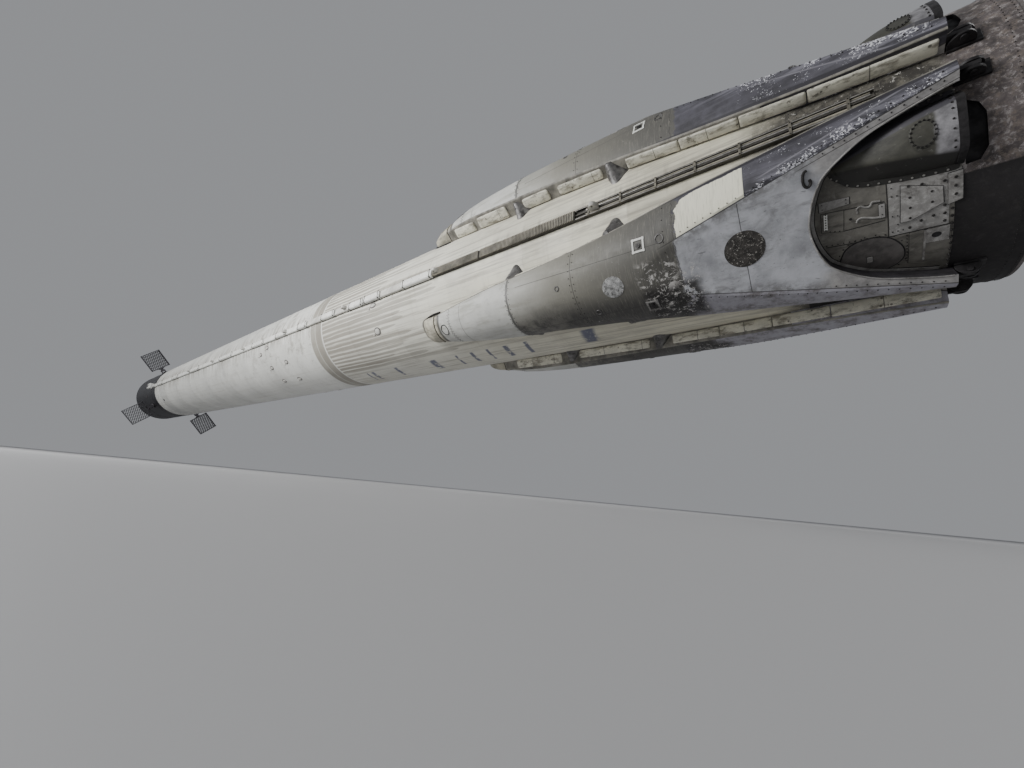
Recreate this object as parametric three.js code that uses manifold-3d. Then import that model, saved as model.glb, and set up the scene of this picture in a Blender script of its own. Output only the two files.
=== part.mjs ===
// Reusable rocket booster stage, a 1:2 scale model, lying on its side as it hangs for display.
// Millimetres, +X along the hull axis towards the nose, +Z up, +Y to the side with raceway_left.
// The origin is on the hull axis at the middle of the row of suspension lugs.

import * as THREE from 'three';
import { mergeVertices } from 'three/addons/utils/BufferGeometryUtils.js';
import Module from 'manifold-3d';

const wasm = await Module();
wasm.setup();

// Stations are counted from the plane of the leg feet, in model millimetres
const SUSPENSION_STATION = 8800;
const ENGINE_SECTION_AFT = -310;
const ENGINE_SECTION_FRONT = 780;
const TANK_RING_AFT = 7420;
const TANK_RING_FRONT = 7865;
const LOX_TANK_FRONT = 19860;
const INTERSTAGE_FRONT = 23150;

const HULL_RADIUS = 915;
const HULL_SEGMENTS = 48;
const SEAT_GAP = 0.3;

const INTERSTAGE_WALL = 26;
const ENGINE_SECTION_WALL = 30;

const DOME_RADIUS = 875;
const DOME_HEIGHT = 560;
const DOME_FLAT_RADIUS = 120;
const DOME_STEPS = 4;

const PUSHER_BASE_RADIUS = 110;
const PUSHER_RADIUS = 45;
const PUSHER_LENGTH = 1500;
const PUSHER_COLLAR_LENGTH = 30;
const PUSHER_TAPER_END = 220;

const ROUND_SEGMENTS = 16;

const RING_ENGINES = 8;
const ENGINE_RING_RADIUS = 650;
const PITCH_AXIS_STATION = 310;
const YAW_AXIS_STATION = 250;
const GIMBAL_BARREL_RADIUS = 26;
const GIMBAL_BARREL_LENGTH = 90;
const GIMBAL_BARREL_SIDES = 16;
const GIMBAL_CLEARANCE = 0.8;
const GIMBAL_NECK_HALF = 15;
const GIMBAL_CHEEK_HALF = 34;
const GIMBAL_CHEEK_GAP = 2;
const GIMBAL_SEAT_HALF = 40;
const THRUST_FRAME_AFT = 560;
const THRUST_FRAME_FRONT = 650;
const THRUST_FRAME_EDGE_GAP = 0.3;

const NOZZLE_EXIT_STATION = -950;
const NOZZLE_EXIT_RADIUS = 225;
const THROAT_STATION = -190;
const THROAT_RADIUS = 58;
const NOZZLE_WALL = 7;
const NOZZLE_STEPS = 3;
const NOZZLE_SEGMENTS = 16;
const CHAMBER_RADIUS = 88;
const CHAMBER_AFT = THROAT_STATION + 90;
const HEAD_RADIUS = 50;
const HEAD_FRONT = YAW_AXIS_STATION - 110;
const HEAD_TAPER = 60;
const NOZZLE_CURVE = 0.55;

const HEAT_SHIELD_THICKNESS = 26;
const HEAT_SHIELD_HOLE_RADIUS = 214;
const HEAT_SHIELD_EDGE_GAP = 6;

const LEG_ANGLES = [45, 135, -135, -45];
const LEG_FLOOR_RADIUS = 850;
const LEG_ARC_STEPS = 10;
const LEG_FACE_HEIGHT = 890;
const LEG_FACE_SLOPE = 0.165;
const LEG_FACE_END = 2200;
const LEG_CAP_LENGTH = 360;

const HINGE_ANGLE = 37.6;
const HINGE_HALF_WIDTH = 34;
const HINGE_LENGTH = 140;
const HINGE_TOP = 1005;

const LATCH_STATIONS = [2085, 3220];
const LATCH_STRAP_HEIGHT = 12;
const LATCH_STRAP_WIDTH = 60;
const LATCH_STRAP_OVERHANG = 3.2;
const LATCH_TIE_HALF_WIDTH = 30;
const LATCH_TIE_DROP = 2;
const LATCH_ROOT_DEPTH = 50;
const LATCH_BITE = 30;
const LATCH_TOP = 1036;
const LATCH_BASE = { aft: -180, fore: 100, tipAft: -60, tipFore: 15, reach: 170 };
const LATCH_CREST = { aft: -12, fore: 66, tipAft: 12, tipFore: 48, reach: 28 };
const LATCH_WALL_GAP_ANGLE = 0.02;

const BLISTER_LENGTH = 560;
const BLISTER_HALF_WIDTH = 200;
const BLISTER_HEIGHT = 135;
const BLISTER_OFFSET_ANGLE = 20.1;
const BLISTER_START = 15;
const BLISTER_BITE = 18;

const RACEWAY_ANGLE = -2;
const RACEWAY_HALF_WIDTH = 57;
const RACEWAY_HEIGHT = 60;
const RACEWAY_AFT_END = 320;
const RACEWAY_FRONT_END = 20050;
const LUG_COUNT = 7;
const LUG_FIRST = 2250;
const LUG_PITCH = (2 * (SUSPENSION_STATION - LUG_FIRST)) / (LUG_COUNT - 1);
const LUG_LENGTH = 90;
const LUG_WIDTH = 44;
const LUG_HEIGHT = 105;

const FIN_STATION = 20750;
const FIN_PAD_RADIUS = 96;
const FIN_PAD_TOP = 925;
const FIN_TURNTABLE_RADIUS = 80;
const FIN_TURNTABLE_TOP = 955;
const FIN_HINGE_RADIUS = 1012;
const FIN_PIN_RADIUS = 22;
const FIN_EAR_INNER = 46;
const FIN_EAR_THICKNESS = 20;
const FIN_ARM_HALF_WIDTH = 40;
const FIN_ROOT = 1112;
const FIN_TIP = 1775;
const FIN_HALF_WIDTH = 300;
const FIN_DEPTH = 120;
const FIN_RIM = 22;
const FIN_CELLS_ACROSS = 3;
const FIN_CELL_WALL = 22;
const FIN_EAR_HALF_LENGTH = 32;
const FIN_ARM_HALF_LENGTH = 30;
const FIN_PIN_CLEARANCE = 0.6;
const FIN_PIN_PROUD = 8;

const POD_STATION = 20520;
const POD_LENGTH = 400;
const POD_WIDTH = 200;
const POD_HEIGHT = 95;
const POD_CHAMFER = 30;

// Finishes
const FINISHES = {
  tank_white: { color: 0xdcdad2, roughness: 0.5, metalness: 0.0 },
  ring_grey: { color: 0xa9a69e, roughness: 0.55, metalness: 0.0 },
  sooty_white: { color: 0xb3ad9c, roughness: 0.65, metalness: 0.0 },
  section_grey: { color: 0x8d8880, roughness: 0.7, metalness: 0.1 },
  leg_grey: { color: 0x8f8d84, roughness: 0.65, metalness: 0.0 },
  interstage_black: { color: 0x1c1c1f, roughness: 0.55, metalness: 0.0 },
  raceway_cream: { color: 0xc3bca8, roughness: 0.6, metalness: 0.0 },
  dark_metal: { color: 0x4a474c, roughness: 0.5, metalness: 0.7 },
  nozzle_metal: { color: 0x6d6660, roughness: 0.4, metalness: 0.8 },
  shield_dark: { color: 0x3a3632, roughness: 0.8, metalness: 0.1 },
  fitting_grey: { color: 0x77746e, roughness: 0.5, metalness: 0.5 },
};

const rocket = new THREE.Group();
const model = new THREE.Group();
model.position.x = -SUSPENSION_STATION;
rocket.add(model);

// Solids

function solid(geometry) {
  const bare = geometry.clone();
  bare.deleteAttribute('normal');
  bare.deleteAttribute('uv');
  const merged = mergeVertices(bare, 1e-3);
  const corners = merged.index.array;
  const triangles = [];
  for (let i = 0; i < corners.length; i += 3) {
    const [a, b, c] = [corners[i], corners[i + 1], corners[i + 2]];
    if (a !== b && b !== c && c !== a) {
      triangles.push(a, b, c);
    }
  }
  const positions = Float32Array.from(merged.attributes.position.array);
  if (signedVolume(positions, triangles) < 0) {
    triangles.reverse();
  }
  return new wasm.Manifold(new wasm.Mesh({
    numProp: 3,
    vertProperties: positions,
    triVerts: Uint32Array.from(triangles),
  }));
}

function signedVolume(positions, triangles) {
  const [a, b, c] = [new THREE.Vector3(), new THREE.Vector3(), new THREE.Vector3()];
  let volume = 0;
  for (let i = 0; i < triangles.length; i += 3) {
    a.fromArray(positions, 3 * triangles[i]);
    b.fromArray(positions, 3 * triangles[i + 1]);
    c.fromArray(positions, 3 * triangles[i + 2]);
    volume += a.dot(b.cross(c)) / 6;
  }
  return volume;
}

function add(parent, name, shape, finish) {
  const mesh = shape.getMesh();
  const geometry = new THREE.BufferGeometry();
  const positions = new Float32Array(mesh.vertProperties);
  geometry.setAttribute('position', new THREE.BufferAttribute(positions, 3));
  geometry.setIndex(Array.from(mesh.triVerts));
  geometry.computeVertexNormals();
  const piece = new THREE.Mesh(geometry, new THREE.MeshStandardMaterial(FINISHES[finish]));
  piece.name = name;
  parent.add(piece);
  return piece;
}

// A solid of revolution about X; profile points are [station, radius]
function turned(profile, segments = HULL_SEGMENTS) {
  const points = profile.map(([station, radius]) => new THREE.Vector2(radius, station));
  const lathe = new THREE.LatheGeometry(points, segments);
  lathe.rotateZ(-Math.PI / 2);
  return solid(lathe);
}

function tube(aft, front, inner, outer, segments = HULL_SEGMENTS) {
  return turned([[aft, inner], [aft, outer], [front, outer], [front, inner], [aft, inner]], segments);
}

function rod(aft, front, radius, segments = HULL_SEGMENTS) {
  return turned([[aft, 0], [aft, radius], [front, radius], [front, 0]], segments);
}

function box(low, high) {
  const size = high.map((value, axis) => value - low[axis]);
  const centre = high.map((value, axis) => (value + low[axis]) / 2);
  const block = new THREE.BoxGeometry(...size);
  block.translate(...centre);
  return solid(block);
}

// A round bar between z = low and z = high, centred on x and y
function post(x, y, low, high, radius, sides) {
  const bar = new THREE.CylinderGeometry(radius, radius, high - low, sides);
  bar.rotateX(Math.PI / 2);
  bar.translate(x, y, (low + high) / 2);
  return solid(bar);
}

// A round bar along Y through x and z
function crossbar(x, z, length, radius, sides) {
  const bar = new THREE.CylinderGeometry(radius, radius, length, sides);
  bar.translate(x, 0, z);
  return solid(bar);
}

// A plan outline of [x, y] points raised from z = low to z = high
function raised(outline, low, high) {
  const shape = new THREE.Shape(outline.map(([x, y]) => new THREE.Vector2(x, y)));
  const block = new THREE.ExtrudeGeometry(shape, { depth: high - low, bevelEnabled: false });
  block.translate(0, 0, low);
  return solid(block);
}

// A skin over matching closed rings of [x, y, z] points, with fan caps
function lofted(rings) {
  const positions = rings.flat(2);
  const count = rings[0].length;
  const index = [];
  for (let ring = 0; ring < rings.length - 1; ring += 1) {
    for (let i = 0; i < count; i += 1) {
      const a = ring * count + i;
      const b = ring * count + ((i + 1) % count);
      index.push(a, b, b + count, a, b + count, a + count);
    }
  }
  [0, rings.length - 1].forEach((ring) => {
    const centre = positions.length / 3;
    for (let axis = 0; axis < 3; axis += 1) {
      positions.push(rings[ring].reduce((sum, point) => sum + point[axis], 0) / count);
    }
    for (let i = 0; i < count; i += 1) {
      const a = ring * count + i;
      const b = ring * count + ((i + 1) % count);
      index.push(...(ring === 0 ? [b, a, centre] : [a, b, centre]));
    }
  });
  const skin = new THREE.BufferGeometry();
  skin.setAttribute('position', new THREE.Float32BufferAttribute(positions, 3));
  skin.setIndex(index);
  return solid(skin);
}

function polar(station, angle, radius) {
  const turn = THREE.MathUtils.degToRad(angle);
  return [station, radius * Math.sin(turn), radius * Math.cos(turn)];
}

// A group whose own +Z points out of the hull at the given angle above +Y
function facing(angle) {
  const group = new THREE.Group();
  group.rotation.x = THREE.MathUtils.degToRad(angle - 90);
  model.add(group);
  return group;
}

const hullWithGap = (aft, front) => rod(aft, front, HULL_RADIUS + SEAT_GAP);

// Tanks

function domeProfile() {
  const points = [];
  const flat = Math.asin(DOME_FLAT_RADIUS / DOME_RADIUS);
  for (let step = 0; step <= DOME_STEPS; step += 1) {
    const angle = Math.PI / 2 - (step / DOME_STEPS) * (Math.PI / 2 - flat);
    points.push([LOX_TANK_FRONT + DOME_HEIGHT * Math.cos(angle), DOME_RADIUS * Math.sin(angle)]);
  }
  return points;
}

const DOME_TOP = domeProfile()[DOME_STEPS][0];

function addTanks() {
  const loxProfile = [
    [TANK_RING_FRONT + SEAT_GAP, 0],
    [TANK_RING_FRONT + SEAT_GAP, HULL_RADIUS],
    [LOX_TANK_FRONT, HULL_RADIUS],
    ...domeProfile(),
    [DOME_TOP, 0],
  ];
  add(model, 'lox_tank', turned(loxProfile), 'tank_white');
  add(model, 'tank_ring', rod(TANK_RING_AFT + SEAT_GAP, TANK_RING_FRONT, HULL_RADIUS), 'ring_grey');
  add(model, 'fuel_tank', rod(ENGINE_SECTION_FRONT + SEAT_GAP, TANK_RING_AFT, HULL_RADIUS), 'sooty_white');
}

// Interstage, an open shell with four flat pads for the grid fins

function addInterstage() {
  const aft = LOX_TANK_FRONT + SEAT_GAP;
  let shell = tube(aft, INTERSTAGE_FRONT, HULL_RADIUS - INTERSTAGE_WALL, HULL_RADIUS);
  LEG_ANGLES.forEach((angle) => {
    const low = HULL_RADIUS - INTERSTAGE_WALL / 2;
    const pad = post(FIN_STATION, 0, low, FIN_PAD_TOP, FIN_PAD_RADIUS, ROUND_SEGMENTS);
    shell = shell.add(pad.rotate([angle - 90, 0, 0]));
  });
  add(model, 'interstage', shell, 'interstage_black');

  const base = DOME_TOP + SEAT_GAP;
  const pusher = turned([
    [base, 0],
    [base, PUSHER_BASE_RADIUS],
    [base + PUSHER_COLLAR_LENGTH, PUSHER_BASE_RADIUS],
    [base + PUSHER_TAPER_END, PUSHER_RADIUS],
    [base + PUSHER_LENGTH, PUSHER_RADIUS],
    [base + PUSHER_LENGTH, 0],
  ], ROUND_SEGMENTS);
  add(model, 'stage_pusher', pusher, 'fitting_grey');
}

// Engine section, thrust frame and heat shield

function engineCentres() {
  const centres = [[0, 0]];
  for (let i = 0; i < RING_ENGINES; i += 1) {
    const angle = ((i + 0.5) / RING_ENGINES) * 2 * Math.PI;
    centres.push([ENGINE_RING_RADIUS * Math.cos(angle), ENGINE_RING_RADIUS * Math.sin(angle)]);
  }
  return centres;
}

function addEngineSection() {
  const innerRadius = HULL_RADIUS - ENGINE_SECTION_WALL;
  let shell = tube(ENGINE_SECTION_AFT, ENGINE_SECTION_FRONT, innerRadius, HULL_RADIUS);
  LEG_ANGLES.forEach((angle) => {
    [-HINGE_ANGLE, HINGE_ANGLE].forEach((offset) => {
      const low = [-HINGE_LENGTH, -HINGE_HALF_WIDTH, HULL_RADIUS - ENGINE_SECTION_WALL / 2];
      const high = [-SEAT_GAP, HINGE_HALF_WIDTH, HINGE_TOP];
      shell = shell.add(box(low, high).rotate([angle + offset - 90, 0, 0]));
    });
  });
  add(model, 'engine_section', shell, 'section_grey');

  const frameRadius = innerRadius - THRUST_FRAME_EDGE_GAP;
  let frame = rod(THRUST_FRAME_AFT, THRUST_FRAME_FRONT, frameRadius);
  const bossLow = PITCH_AXIS_STATION + GIMBAL_CHEEK_GAP;
  engineCentres().forEach(([y, z]) => {
    const low = [bossLow, y - GIMBAL_SEAT_HALF, z - GIMBAL_CHEEK_HALF];
    const high = [THRUST_FRAME_AFT + 1, y + GIMBAL_SEAT_HALF, z + GIMBAL_CHEEK_HALF];
    const groove = crossbar(PITCH_AXIS_STATION, z, 200, GIMBAL_BARREL_RADIUS + GIMBAL_CLEARANCE,
      GIMBAL_BARREL_SIDES).translate([0, y, 0]);
    frame = frame.add(box(low, high).subtract(groove));
  });
  add(model, 'thrust_frame', frame, 'fitting_grey');

  const shieldFront = ENGINE_SECTION_AFT - SEAT_GAP;
  const shieldRadius = HULL_RADIUS - HEAT_SHIELD_EDGE_GAP;
  let shield = rod(shieldFront - HEAT_SHIELD_THICKNESS, shieldFront, shieldRadius);
  engineCentres().forEach(([y, z]) => {
    const hole = rod(shieldFront - 100, shieldFront + 100, HEAT_SHIELD_HOLE_RADIUS, ROUND_SEGMENTS);
    shield = shield.subtract(hole.translate([0, y, z]));
  });
  add(model, 'heat_shield', shield, 'shield_dark');
}

// Engines, each on a gimbal block with two crossed barrels

function engineProfile() {
  const bell = [];
  for (let step = 0; step <= NOZZLE_STEPS; step += 1) {
    const along = step / NOZZLE_STEPS;
    const radius = THROAT_RADIUS + (NOZZLE_EXIT_RADIUS - THROAT_RADIUS) * along ** NOZZLE_CURVE;
    bell.push([THROAT_STATION + (NOZZLE_EXIT_STATION - THROAT_STATION) * along, radius]);
  }
  const inside = bell.map(([station, radius]) => [station, radius - NOZZLE_WALL]);
  return [
    [THROAT_STATION, 0],
    ...inside,
    ...bell.reverse(),
    [CHAMBER_AFT, CHAMBER_RADIUS],
    [HEAD_FRONT - HEAD_TAPER, CHAMBER_RADIUS],
    [HEAD_FRONT, HEAD_RADIUS],
    [HEAD_FRONT, 0],
  ];
}

function addEngine(number, y, z) {
  const place = new THREE.Group();
  place.position.set(0, y, z);
  model.add(place);

  const radius = GIMBAL_BARREL_RADIUS;
  const half = GIMBAL_BARREL_LENGTH / 2;
  const upper = crossbar(PITCH_AXIS_STATION, 0, GIMBAL_BARREL_LENGTH, radius, GIMBAL_BARREL_SIDES);
  const lower = post(YAW_AXIS_STATION, 0, -half, half, radius, GIMBAL_BARREL_SIDES);
  const neck = box([YAW_AXIS_STATION, -GIMBAL_NECK_HALF, -GIMBAL_NECK_HALF],
    [PITCH_AXIS_STATION, GIMBAL_NECK_HALF, GIMBAL_NECK_HALF]);
  add(place, `gimbal_block_${number}`, upper.add(lower).add(neck), 'fitting_grey');

  const groove = post(YAW_AXIS_STATION, 0, -100, 100, radius + GIMBAL_CLEARANCE, GIMBAL_BARREL_SIDES);
  const head = box([HEAD_FRONT - HEAD_TAPER / 3, -GIMBAL_CHEEK_HALF, -GIMBAL_SEAT_HALF],
    [YAW_AXIS_STATION - GIMBAL_CHEEK_GAP, GIMBAL_CHEEK_HALF, GIMBAL_SEAT_HALF]);
  const body = turned(engineProfile(), NOZZLE_SEGMENTS).add(head.subtract(groove));
  add(place, `engine_${number}`, body, 'nozzle_metal');
}

// Landing legs, stowed against the hull

// Columns: station, half-angle of the side walls, radius of their top edge, radius of the crown
const LEG_SECTIONS = [
  [0, 38.8, 1062, 1160],
  [500, 36.5, 1046, 1166],
  [1000, 33.0, 1038, 1176],
  [1500, 29.2, 1037, 1186],
  [2100, 23.8, 1042, 1198],
  [2750, 19.5, 1060, 1210],
  [3500, 16.2, 1078, 1208],
  [4100, 12.2, 1075, 1172],
  [4460, 9.6, 1045, 1105],
];

// One closed section of a leg: up both side walls from the floor, and over the crown in one arc
function legRing([station, halfAngle, edgeRadius, crownRadius]) {
  const turn = THREE.MathUtils.degToRad(halfAngle);
  const halfWidth = edgeRadius * Math.sin(turn);
  const rise = crownRadius - edgeRadius * Math.cos(turn);
  const arcRadius = (halfWidth ** 2 + rise ** 2) / (2 * rise);
  const sweep = Math.asin(halfWidth / arcRadius);
  const arc = [];
  for (let step = 0; step <= LEG_ARC_STEPS; step += 1) {
    const angle = sweep * ((2 * step) / LEG_ARC_STEPS - 1);
    arc.push([station, arcRadius * Math.sin(angle), crownRadius - arcRadius * (1 - Math.cos(angle))]);
  }
  const floor = (angle) => polar(station, angle, LEG_FLOOR_RADIUS);
  return [floor(-halfAngle), ...arc, floor(halfAngle)];
}

function legEdgeAngle(station) {
  const next = LEG_SECTIONS.findIndex(([at]) => at >= station);
  const [low, high] = [LEG_SECTIONS[next - 1], LEG_SECTIONS[next]];
  return low[1] + ((high[1] - low[1]) * (station - low[0])) / (high[0] - low[0]);
}

// The opening between the two arms, [station, half width]
const LEG_OPENING = [
  [-50, 553],
  [40, 550],
  [245, 500],
  [425, 438],
  [600, 322],
  [685, 180],
  [712, 60],
];

// What the sloping flat face takes off the crown
function aboveFace() {
  const height = (station) => LEG_FACE_HEIGHT + LEG_FACE_SLOPE * station;
  const below = [[-100, height(-100)], [LEG_FACE_END, height(LEG_FACE_END)]];
  const above = [[LEG_FACE_END, 1500], [-100, 1500]];
  return raised([...below, ...above], -900, 900).rotate([90, 0, 0]);
}

function legStraps(grow) {
  const strapTop = HULL_RADIUS + LATCH_STRAP_HEIGHT;
  const half = LATCH_STRAP_WIDTH / 2 + grow;
  const tieHalf = LATCH_TIE_HALF_WIDTH + grow;
  const tieTop = strapTop - LATCH_TIE_DROP + grow;
  let straps = box([LATCH_STATIONS[0], -tieHalf, 500], [LATCH_STATIONS[1], tieHalf, tieTop]);
  LATCH_STATIONS.forEach((station) => {
    const reach = THREE.MathUtils.degToRad(legEdgeAngle(station) + LATCH_STRAP_OVERHANG);
    const halfSpan = HULL_RADIUS * Math.sin(reach);
    const bite = box([station - half, -halfSpan, 500], [station + half, halfSpan, 1200]);
    straps = straps.add(rod(station - 200, station + 200, strapTop + grow).intersect(bite));
  });
  return straps;
}

// A latch fitting leans on the leg's wall and flares out along the hull
function latchFitting(station, side) {
  const section = ({ aft, fore, tipAft, tipFore, reach }, height) => [
    [aft, -LATCH_ROOT_DEPTH],
    [fore, -LATCH_ROOT_DEPTH],
    [fore, 0],
    [tipFore, reach],
    [tipAft, reach],
    [aft, 0],
  ].map(([x, y]) => [station + x, side * y, height]);
  const root = section(LATCH_BASE, HULL_RADIUS - LATCH_BITE);
  const flare = lofted([root, section(LATCH_CREST, LATCH_TOP)]);
  return flare.rotate([-side * legEdgeAngle(station), 0, 0]);
}

function addLeg(number, angle) {
  const group = facing(angle);
  const floor = hullWithGap(-400, 5000);

  const shell = lofted(LEG_SECTIONS.map(legRing)).subtract(floor);
  const opening = [
    ...LEG_OPENING,
    ...LEG_OPENING.map(([station, halfWidth]) => [station, -halfWidth]).reverse(),
  ];
  const leg = shell
    .subtract(aboveFace())
    .subtract(raised(opening, 300, 1500))
    .subtract(legStraps(SEAT_GAP));

  let latches = legStraps(0).subtract(floor);
  const fittingFloor = rod(-400, 5000, HULL_RADIUS + 2 * SEAT_GAP);
  [-1, 1].forEach((side) => {
    const wall = shell.add(shell.rotate([-side * LATCH_WALL_GAP_ANGLE, 0, 0]));
    LATCH_STATIONS.forEach((station) => {
      latches = latches.add(latchFitting(station, side).subtract(wall).subtract(fittingFloor));
    });
  });

  const end = LEG_SECTIONS[LEG_SECTIONS.length - 1];
  const capStart = end[0] + 3;
  const capRings = [[0, 1.0, 1.0], [0.5, 0.92, 0.8], [0.82, 0.7, 0.48], [1, 0.42, 0.14]];
  const cap = lofted(capRings.map(([along, width, height]) => legRing([
    capStart + along * LEG_CAP_LENGTH,
    end[1] * width,
    HULL_RADIUS + (end[2] - HULL_RADIUS) * height,
    HULL_RADIUS + (end[3] - HULL_RADIUS) * height,
  ]))).subtract(floor);

  add(group, `leg_${number}`, leg, 'leg_grey');
  add(group, `leg_latches_${number}`, latches, 'fitting_grey');
  add(group, `leg_tip_cap_${number}`, cap, 'fitting_grey');
}

// Wedge fairings in the leg openings, on the side towards the nearest raceway

function addBlister(number, angle) {
  const towardsRaceway = Math.sin(THREE.MathUtils.degToRad(2 * angle)) > 0 ? -1 : 1;
  const outline = [[-1, -0.4], [-1, 0], [-0.6, 0.9], [0, 1], [0.6, 0.9], [1, 0], [1, -0.4]];
  const sections = [[0, 1, 1], [0.35, 0.86, 0.9], [0.75, 0.42, 0.45], [1, 0.08, 0.06]];
  const shape = lofted(sections.map(([along, width, height]) => outline.map(([y, z]) => [
    BLISTER_START + along * BLISTER_LENGTH,
    y * width * BLISTER_HALF_WIDTH,
    HULL_RADIUS - BLISTER_BITE + z * (height * BLISTER_HEIGHT + BLISTER_BITE),
  ])));
  const turn = towardsRaceway * BLISTER_OFFSET_ANGLE;
  const seated = shape.rotate([turn, 0, 0]).subtract(hullWithGap(-400, 1000));
  add(facing(angle), `blister_${number}`, seated, 'fitting_grey');
}

// Raceways along both sides, with the suspension lugs on them

function addRaceway(name, angle, mirror) {
  let duct = box([RACEWAY_AFT_END, -RACEWAY_HALF_WIDTH, 800],
    [RACEWAY_FRONT_END, RACEWAY_HALF_WIDTH, HULL_RADIUS + RACEWAY_HEIGHT]);
  for (let i = 0; i < LUG_COUNT; i += 1) {
    const station = LUG_FIRST + i * LUG_PITCH;
    const low = [station - LUG_LENGTH / 2, -LUG_WIDTH / 2, HULL_RADIUS - 50];
    const high = [station + LUG_LENGTH / 2, LUG_WIDTH / 2, HULL_RADIUS + LUG_HEIGHT];
    duct = duct.add(box(low, high));
  }
  const seated = duct.rotate([mirror * RACEWAY_ANGLE, 0, 0]).subtract(hullWithGap(-400, INTERSTAGE_FRONT));
  add(facing(angle), name, seated, 'raceway_cream');
}

// Cold gas thruster pods at the foot of the interstage

function addPod(name, angle) {
  const group = facing(angle);
  const [half, width] = [POD_LENGTH / 2, POD_WIDTH / 2];
  const [inHalf, inWidth] = [half - POD_CHAMFER, width - POD_CHAMFER];
  const corners = [[-half, -inWidth], [-inHalf, -width], [inHalf, -width], [half, -inWidth]];
  const around = [...corners, ...corners.map(([x, y]) => [-x, -y])];
  const outline = around.map(([x, y]) => [POD_STATION + x, y]);
  const pod = raised(outline, 800, HULL_RADIUS + POD_HEIGHT).subtract(hullWithGap(19000, 22000));
  add(group, name, pod, 'raceway_cream');
}

// Grid fins: a turntable with two ears steers, and the fin folds forward on its pin

function addFin(number, angle) {
  const group = facing(angle);
  const earOuter = FIN_EAR_INNER + FIN_EAR_THICKNESS;
  const turntable = post(FIN_STATION, 0, FIN_PAD_TOP + SEAT_GAP, FIN_TURNTABLE_TOP,
    FIN_TURNTABLE_RADIUS, ROUND_SEGMENTS);
  const pinHole = crossbar(FIN_STATION, FIN_HINGE_RADIUS, 400, FIN_PIN_RADIUS + FIN_PIN_CLEARANCE,
    ROUND_SEGMENTS);
  let mount = turntable;
  [-1, 1].forEach((side) => {
    const inner = side * FIN_EAR_INNER;
    const outer = side * earOuter;
    const earTop = FIN_HINGE_RADIUS + FIN_EAR_HALF_LENGTH;
    const low = [FIN_STATION - FIN_EAR_HALF_LENGTH, Math.min(inner, outer), FIN_PAD_TOP + 10];
    const high = [FIN_STATION + FIN_EAR_HALF_LENGTH, Math.max(inner, outer), earTop];
    mount = mount.add(box(low, high));
  });
  add(group, `fin_mount_${number}`, mount.subtract(pinHole), 'dark_metal');

  const halfDepth = FIN_DEPTH / 2;
  let fin = box([FIN_STATION - halfDepth, -FIN_HALF_WIDTH, FIN_ROOT],
    [FIN_STATION + halfDepth, FIN_HALF_WIDTH, FIN_TIP]);
  fin = fin.subtract(finCells());
  const arm = box([FIN_STATION - FIN_ARM_HALF_LENGTH, -FIN_ARM_HALF_WIDTH, FIN_HINGE_RADIUS],
    [FIN_STATION + FIN_ARM_HALF_LENGTH, FIN_ARM_HALF_WIDTH, FIN_ROOT + 10]);
  const pinLength = 2 * (earOuter + FIN_PIN_PROUD);
  const pin = crossbar(FIN_STATION, FIN_HINGE_RADIUS, pinLength, FIN_PIN_RADIUS, ROUND_SEGMENTS);
  add(group, `grid_fin_${number}`, fin.add(arm).add(pin), 'dark_metal');
}

// The square cells stand on their corners, and the rim stays whole around them
function finCells() {
  const [y0, y1] = [-FIN_HALF_WIDTH + FIN_RIM, FIN_HALF_WIDTH - FIN_RIM];
  const [z0, z1] = [FIN_ROOT + FIN_RIM, FIN_TIP - FIN_RIM];
  const window = box([FIN_STATION - 200, y0, z0], [FIN_STATION + 200, y1, z1]);
  const pitch = (y1 - y0) / FIN_CELLS_ACROSS;
  const half = (pitch - FIN_CELL_WALL * Math.SQRT2) / 2;
  const rows = Math.round((z1 - z0) / (pitch / 2));
  const cells = [];
  for (let row = 0; row <= rows; row += 1) {
    const shift = row % 2 === 0 ? 0 : 0.5;
    for (let column = 0; column <= FIN_CELLS_ACROSS; column += 1) {
      const y = y0 + (column + shift) * pitch;
      const z = z0 + row * (z1 - z0) / rows;
      const cell = solid(new THREE.CylinderGeometry(half, half, 400, 4));
      cells.push(cell.rotate([0, 0, 90]).translate([FIN_STATION, y, z]));
    }
  }
  return cells.reduce((all, cell) => all.add(cell)).intersect(window);
}

addTanks();
addInterstage();
addEngineSection();
engineCentres().forEach(([y, z], index) => addEngine(index + 1, y, z));
LEG_ANGLES.forEach((angle, index) => addLeg(index + 1, angle));
LEG_ANGLES.forEach((angle, index) => addBlister(index + 1, angle));
LEG_ANGLES.forEach((angle, index) => addFin(index + 1, angle));
addRaceway('raceway_left', 0, 1);
addRaceway('raceway_right', 180, -1);
addPod('thruster_pod_left', 0);
addPod('thruster_pod_right', 180);

export default rocket;
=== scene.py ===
import functools
import math

import bmesh
import bpy
import numpy as np
from bpy.props import FloatProperty, FloatVectorProperty, IntProperty, PointerProperty
from mathutils import Matrix, Vector


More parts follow.
